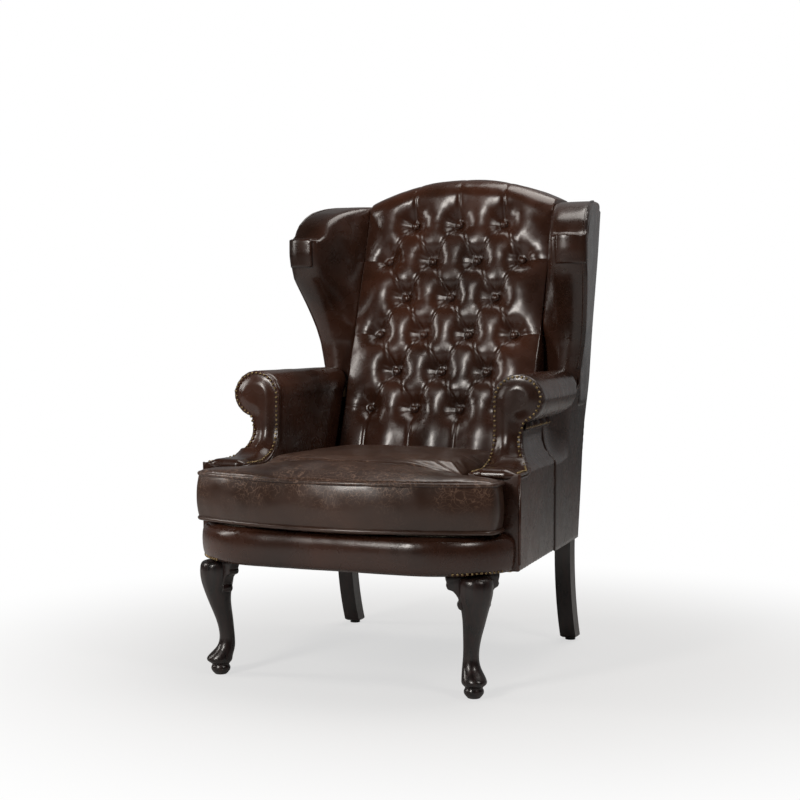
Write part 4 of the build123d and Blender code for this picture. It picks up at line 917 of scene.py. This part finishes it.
facing_nail_inset = 0.0062
gimp_run, gimp_middle_z, gimp_half_width, gimp_inset, gather_depth = 0.295, 0.536, 0.010, 0.0262, 0.0018
post_cord_radius, side_cord_radius = 0.003, 0.0016
cover_inner, cover_low, cover_high, cover_depth = 0.2525, 0.2515, 0.4495, 0.012
for side, name in ((1, "right"), (-1, "left")):
    drawn_hide("arm_hide_" + name, ["arm_pad_" + name, "arm_post_" + name, "arm_rail_" + name],
               ["arm_pad_" + name], skin=0.004, passes=10, unevenness=0.0008)
    drawn_hide("outside_arm_" + name, ["outside_arm_cover_" + name], ["outside_arm_cover_" + name],
               skin=0.0024, passes=9, unevenness=0.0004)
    drawn_hide("arm_facing_hide_" + name, ["arm_facing_" + name], ["arm_facing_" + name],
               skin=0.0024, passes=3, unevenness=0.0002, lift=facing_fullness)
    front_form = bmesh.new()
    cover_outer = side_x(post_front_y) + 0.0005
    centre = (side * (cover_outer + cover_inner) / 2, post_front_y + 0.0045, (cover_low + cover_high) / 2)
    size = Matrix.Diagonal((cover_outer - cover_inner, cover_depth, cover_high - cover_low, 1))
    bmesh.ops.create_cube(front_form, size=1, matrix=Matrix.Translation(centre) @ size)
    bmesh.ops.bevel(front_form, geom=front_form.edges[:], offset=0.004, segments=4, profile=0.5, affect="EDGES",
                    material=-1)
    post_cover = finish_piece("arm_front_hide_" + name, front_form, brown_hide, ["arm_front_cover_" + name])
    line = []
    for x, z in facing_edge(facing_nail_inset):
        y, out = front_of_arm(z)
        shift = side_x(y) - side_x(head_front_y) if x > 0.30 and z < 0.5 else 0
        line.append((turned((x + shift, y, z), side) + out * 0.0012, out))
    up = Vector((0, 0, 1))
    foot_z, foot_ys = arm_foot_z + 0.0012, (post_front_y + 0.008, sweep_y)
    inner_foot = [(turned((arm_inner_x + facing_nail_inset, y, foot_z), side), up) for y in foot_ys]
    outer_foot = [(turned((side_x(y) - facing_nail_inset, y, foot_z), side), up) for y in foot_ys[::-1]]
    nail_row("facing_nails_" + name, inner_foot + line + outer_foot)
    gimp_form = bmesh.new()
    bmesh.ops.create_grid(gimp_form, x_segments=150, y_segments=6, size=1)
    for vert in gimp_form.verts:
        y = head_front_y + 0.012 + gimp_run * (vert.co.x + 1) / 2
        gather = gather_depth * math.sin(y * 1100) * (1 - abs(vert.co.y) ** 4)
        x = side_x(y) - gimp_inset + gather + 0.003 * (1 - vert.co.y ** 2)
        vert.co = turned((x, y, gimp_middle_z + gimp_half_width * vert.co.y), side)
    gimp = finish_piece("arm_gimp_hide_" + name, gimp_form, brown_hide, ["arm_gimp_" + name])
    give_wall(gimp, 0.0015)
    line = [(turned((side_x(y) - 0.0236, y, 0.533), side), turned((1, 0, -0.35), side))
            for y in (head_front_y + 0.016, 0.14)]
    nail_row("gimp_nails_" + name, line)
    post_edge = side * (side_x(post_front_y) + 0.001)
    line = [Vector((post_edge, post_front_y + 0.001, z)) for z in (0.2655, 0.35, 0.45)]
    cord("post_piping_hide_" + name, line, post_cord_radius, brown_hide, ["post_piping"], "root", closed=False)
    line = [Vector((side * (side_x(seam_y) - neck_depth(z) + 0.0006), seam_y, z))
            for z in [0.256 + 0.009 * step for step in range(32)]]
    cord("side_seam_" + name, line, side_cord_radius, brown_hide, [], "root", closed=False)

# Front border and outside back. The border is a padded roll round the front rail; brass nails close it
# above each leg. The outside back is one plain panel.
border_middle_z, border_half_height, border_swell = 0.292, 0.042, 0.0065


def border_fullness(vert):
    """Fullness of the roll's padding, most at half its height."""
    level = (vert.co.z - border_middle_z) / border_half_height
    return border_swell * max(0, 1 - level ** 2) * (abs(vert.normal.z) < 0.6) * (vert.co.y < -0.2)


drawn_hide("front_border_hide", ["front_border"], ["front_border"], skin=0.0035, passes=8, unevenness=0.0006,
           lift=border_fullness)
drawn_hide("outside_back_hide", ["outside_back_cover"], ["outside_back_cover"], skin=0.0034, passes=2,
           unevenness=0.0005)
corner_centre, corner_radius, leg_nail_z = Vector((0.1686, -0.24265, 0)), 0.1905, 0.2565
for side, name in ((1, "right"), (-1, "left")):
    line = []
    for step in range(13):
        turn = math.radians(31 + 36 * step / 12)
        out = Vector((math.sin(turn), -math.cos(turn), 0))
        spot = corner_centre + out * corner_radius + Vector((0, 0, leg_nail_z))
        line.append((turned(spot, side), turned(out, side)))
    nail_row("leg_nails_" + name, line)

# Loose seat cushion. A T-shaped box cushion, crowned on top, sewn with piped seams round both edges, in
# older, cracked leather.
ear_x, ear_front, bow_front = 0.340, -0.36765, -0.45165
body_x, ear_back, body_back = 0.245, -0.29465, 0.098
cord_radius, corner_round = 0.0045, 0.018
cushion_low, cushion_high = 0.3336, 0.4376
seam_levels = (("top", cushion_high - cord_radius, body_back + 0.034),
               ("bottom", cushion_low + cord_radius, body_back))
cushion_skin, sewn_reach, filling_pressure, most_swell, swell_frames = 0.006, 0.009, 14, 0.017, 20
front_swell, crown_drop, crease_depth = 0.0075, 0.006, 0.0016


def cushion_outline(inset, rear):
    """Plan of the cushion as a closed loop, with its corners rounded."""
    ear, front, back, body = ear_x - inset, ear_front + inset, ear_back - inset, body_x - inset
    bow = []
    for step in range(1, 12):
        share = step / 6 - 1
        bow.append((share * ear, bow_front + inset + (ear_front - bow_front) * share ** 2))
    corners = [(ear, front), (ear, back), (body, back), (body, rear - inset), (-body, rear - inset),
               (-body, back), (-ear, back), (-ear, front)]
    loop = bmesh.new()
    verts = bmesh.ops.create_circle(loop, segments=len(corners) + len(bow), radius=1)["verts"]
    for vert, (x, y) in zip(verts, corners + bow):
        vert.co = (x, y, 0)
    bmesh.ops.bevel(loop, geom=verts[:len(corners)], offset=corner_round, segments=5, profile=0.5,
                    affect="VERTICES", material=-1)
    last = list(loop.edges)[0]
    start, vert = last.verts
    order = [start]
    while vert != start:
        order.append(vert)
        last = [edge for edge in vert.link_edges if edge != last][0]
        vert = last.other_vert(vert)
    points = [vert.co.copy() for vert in order]
    loop.free()
    return points


def seam_line(level, rear):
    """Line of a cushion's piped seam at one level."""
    return [Vector((point.x, point.y, level)) for point in cushion_outline(0.0025, rear - 0.003)]


def filled_out(piece, held_group):
    """Let the filling swell a closed cover between its seams, no point by more than a set way."""
    start = [vert.co.copy() for vert in piece.data.vertices]
    swell = piece.modifiers.new("swell", "CLOTH")
    swell.settings.use_pressure = True
    swell.settings.uniform_pressure_force = filling_pressure
    swell.settings.vertex_group_mass = held_group
    swell.settings.effector_weights.gravity = 0
    swell.point_cache.frame_start = 1
    swell.point_cache.frame_end = swell_frames
    for moment in range(1, swell_frames + 1):
        scene.frame_set(moment)
    graph = bpy.context.evaluated_depsgraph_get()
    swollen = [vert.co.copy() for vert in piece.evaluated_get(graph).data.vertices]
    piece.modifiers.remove(swell)
    for vert, before, after in zip(piece.data.vertices, start, swollen):
        move = after - before
        vert.co = before + move * min(1, most_swell / max(move.length, 0.000001))
    scene.frame_set(1)


form = bmesh.new()
form.from_mesh(nodes["seat_cushion_cover"].data)
form.from_mesh(nodes["seat_cushion_core"].data)
bmesh.ops.remove_doubles(form, verts=form.verts, dist=0.00002)
form = eased(wrapped(form, cushion_skin, 2), 25, cushion_high + 0.003)
for vert in form.verts:
    middle = 1 - abs(2 * (vert.co.z - cushion_low) / (cushion_high - cushion_low) - 1) ** 2
    if abs(vert.normal.z) < 0.5:
        vert.co += vert.normal * (front_swell * max(0, middle) if vert.co.y < -0.3 else 0)
    elif vert.normal.z > 0.5:
        vert.co.z -= crown_drop * smooth_step((vert.co.z - cushion_high) / 0.02)
cushion = finish_piece("seat_cushion", form, seat_hide, ["seat_cushion_cover", "seat_cushion_core"],
                       body="seat_cushion")
sewn = cushion.vertex_groups.new(name="sewn")
seam_points = [point for label, level, rear in seam_levels for point in seam_line(level, rear)]
seam_tree = kdtree.KDTree(len(seam_points))
for index, point in enumerate(seam_points):
    seam_tree.insert(point, index)
seam_tree.balance()
for vert in cushion.data.vertices:
    if seam_tree.find(vert.co)[2] < sewn_reach:
        sewn.add([vert.index], 1, "REPLACE")
filled_out(cushion, "sewn")
for vert in cushion.data.vertices:
    level_crease = noise.noise(Vector((vert.co.x * 20, vert.co.y * 60, vert.co.z * 30)))
    crease = noise.noise(vert.co * 16) + 0.6 * level_crease
    vert.co += vert.normal * crease_depth * crease
soften(cushion, 1)
for label, level, rear in seam_levels:
    cord("cushion_piping_" + label, seam_line(level, rear), cord_radius, seat_hide, ["seat_cushion_piping"],
         "seat_cushion")

# Deck and dust cover. Under the cushion a lining is stretched over the deck's padding, and a thin black cloth
# is tacked under the rails to close the seat from below.
sheet_cells, sheet_thickness = 24, 0.0012


def stretched_sheet(name, node, up, belly, lap):
    """Cloth stretched flat, with a slight belly between its tacked edges."""
    form = bmesh.new()
    form.from_mesh(nodes[node].data)
    bmesh.ops.remove_doubles(form, verts=form.verts, dist=0.00002)
    form.normal_update()
    bmesh.ops.delete(form, geom=[face for face in form.faces if face.normal.z * up < 0.9], context="FACES")
    cut_area = sum(face.calc_area() for face in form.faces)
    low = Vector([min(vert.co[axis] for vert in form.verts) for axis in range(3)])
    high = Vector([max(vert.co[axis] for vert in form.verts) for axis in range(3)])
    for axis in (0, 1):
        cell = Vector([(high - low)[axis] / sheet_cells if part == axis else 0 for part in range(3)])
        for step in range(1, sheet_cells):
            everything = form.verts[:] + form.edges[:] + form.faces[:]
            bmesh.ops.bisect_plane(form, geom=everything, plane_co=low + cell * step, plane_no=cell)
    for vert in form.verts:
        share = [(vert.co[axis] - low[axis]) / (high - low)[axis] for axis in (0, 1)]
        hang = math.sin(math.pi * share[0]) * math.sin(math.pi * share[1])
        vert.co.z -= hang * (belly + 0.0015 * noise.noise(vert.co * 14)) - 0.0004 * up
    middle = (low + high) / 2
    for vert in {vert for edge in form.edges if edge.is_boundary for vert in edge.verts}:
        if vert.co.y < low.y + 0.12:
            vert.co += Vector(((vert.co - middle).x, (vert.co - middle).y, 0)).normalized() * lap
    piece = finish_piece(name, form, lining, [node])
    give_wall(piece, sheet_thickness, -up)


stretched_sheet("deck_lining", "deck_cover", 1, -0.001, 0.005)
stretched_sheet("under_cloth", "dust_cover", -1, 0.005, 0.0)
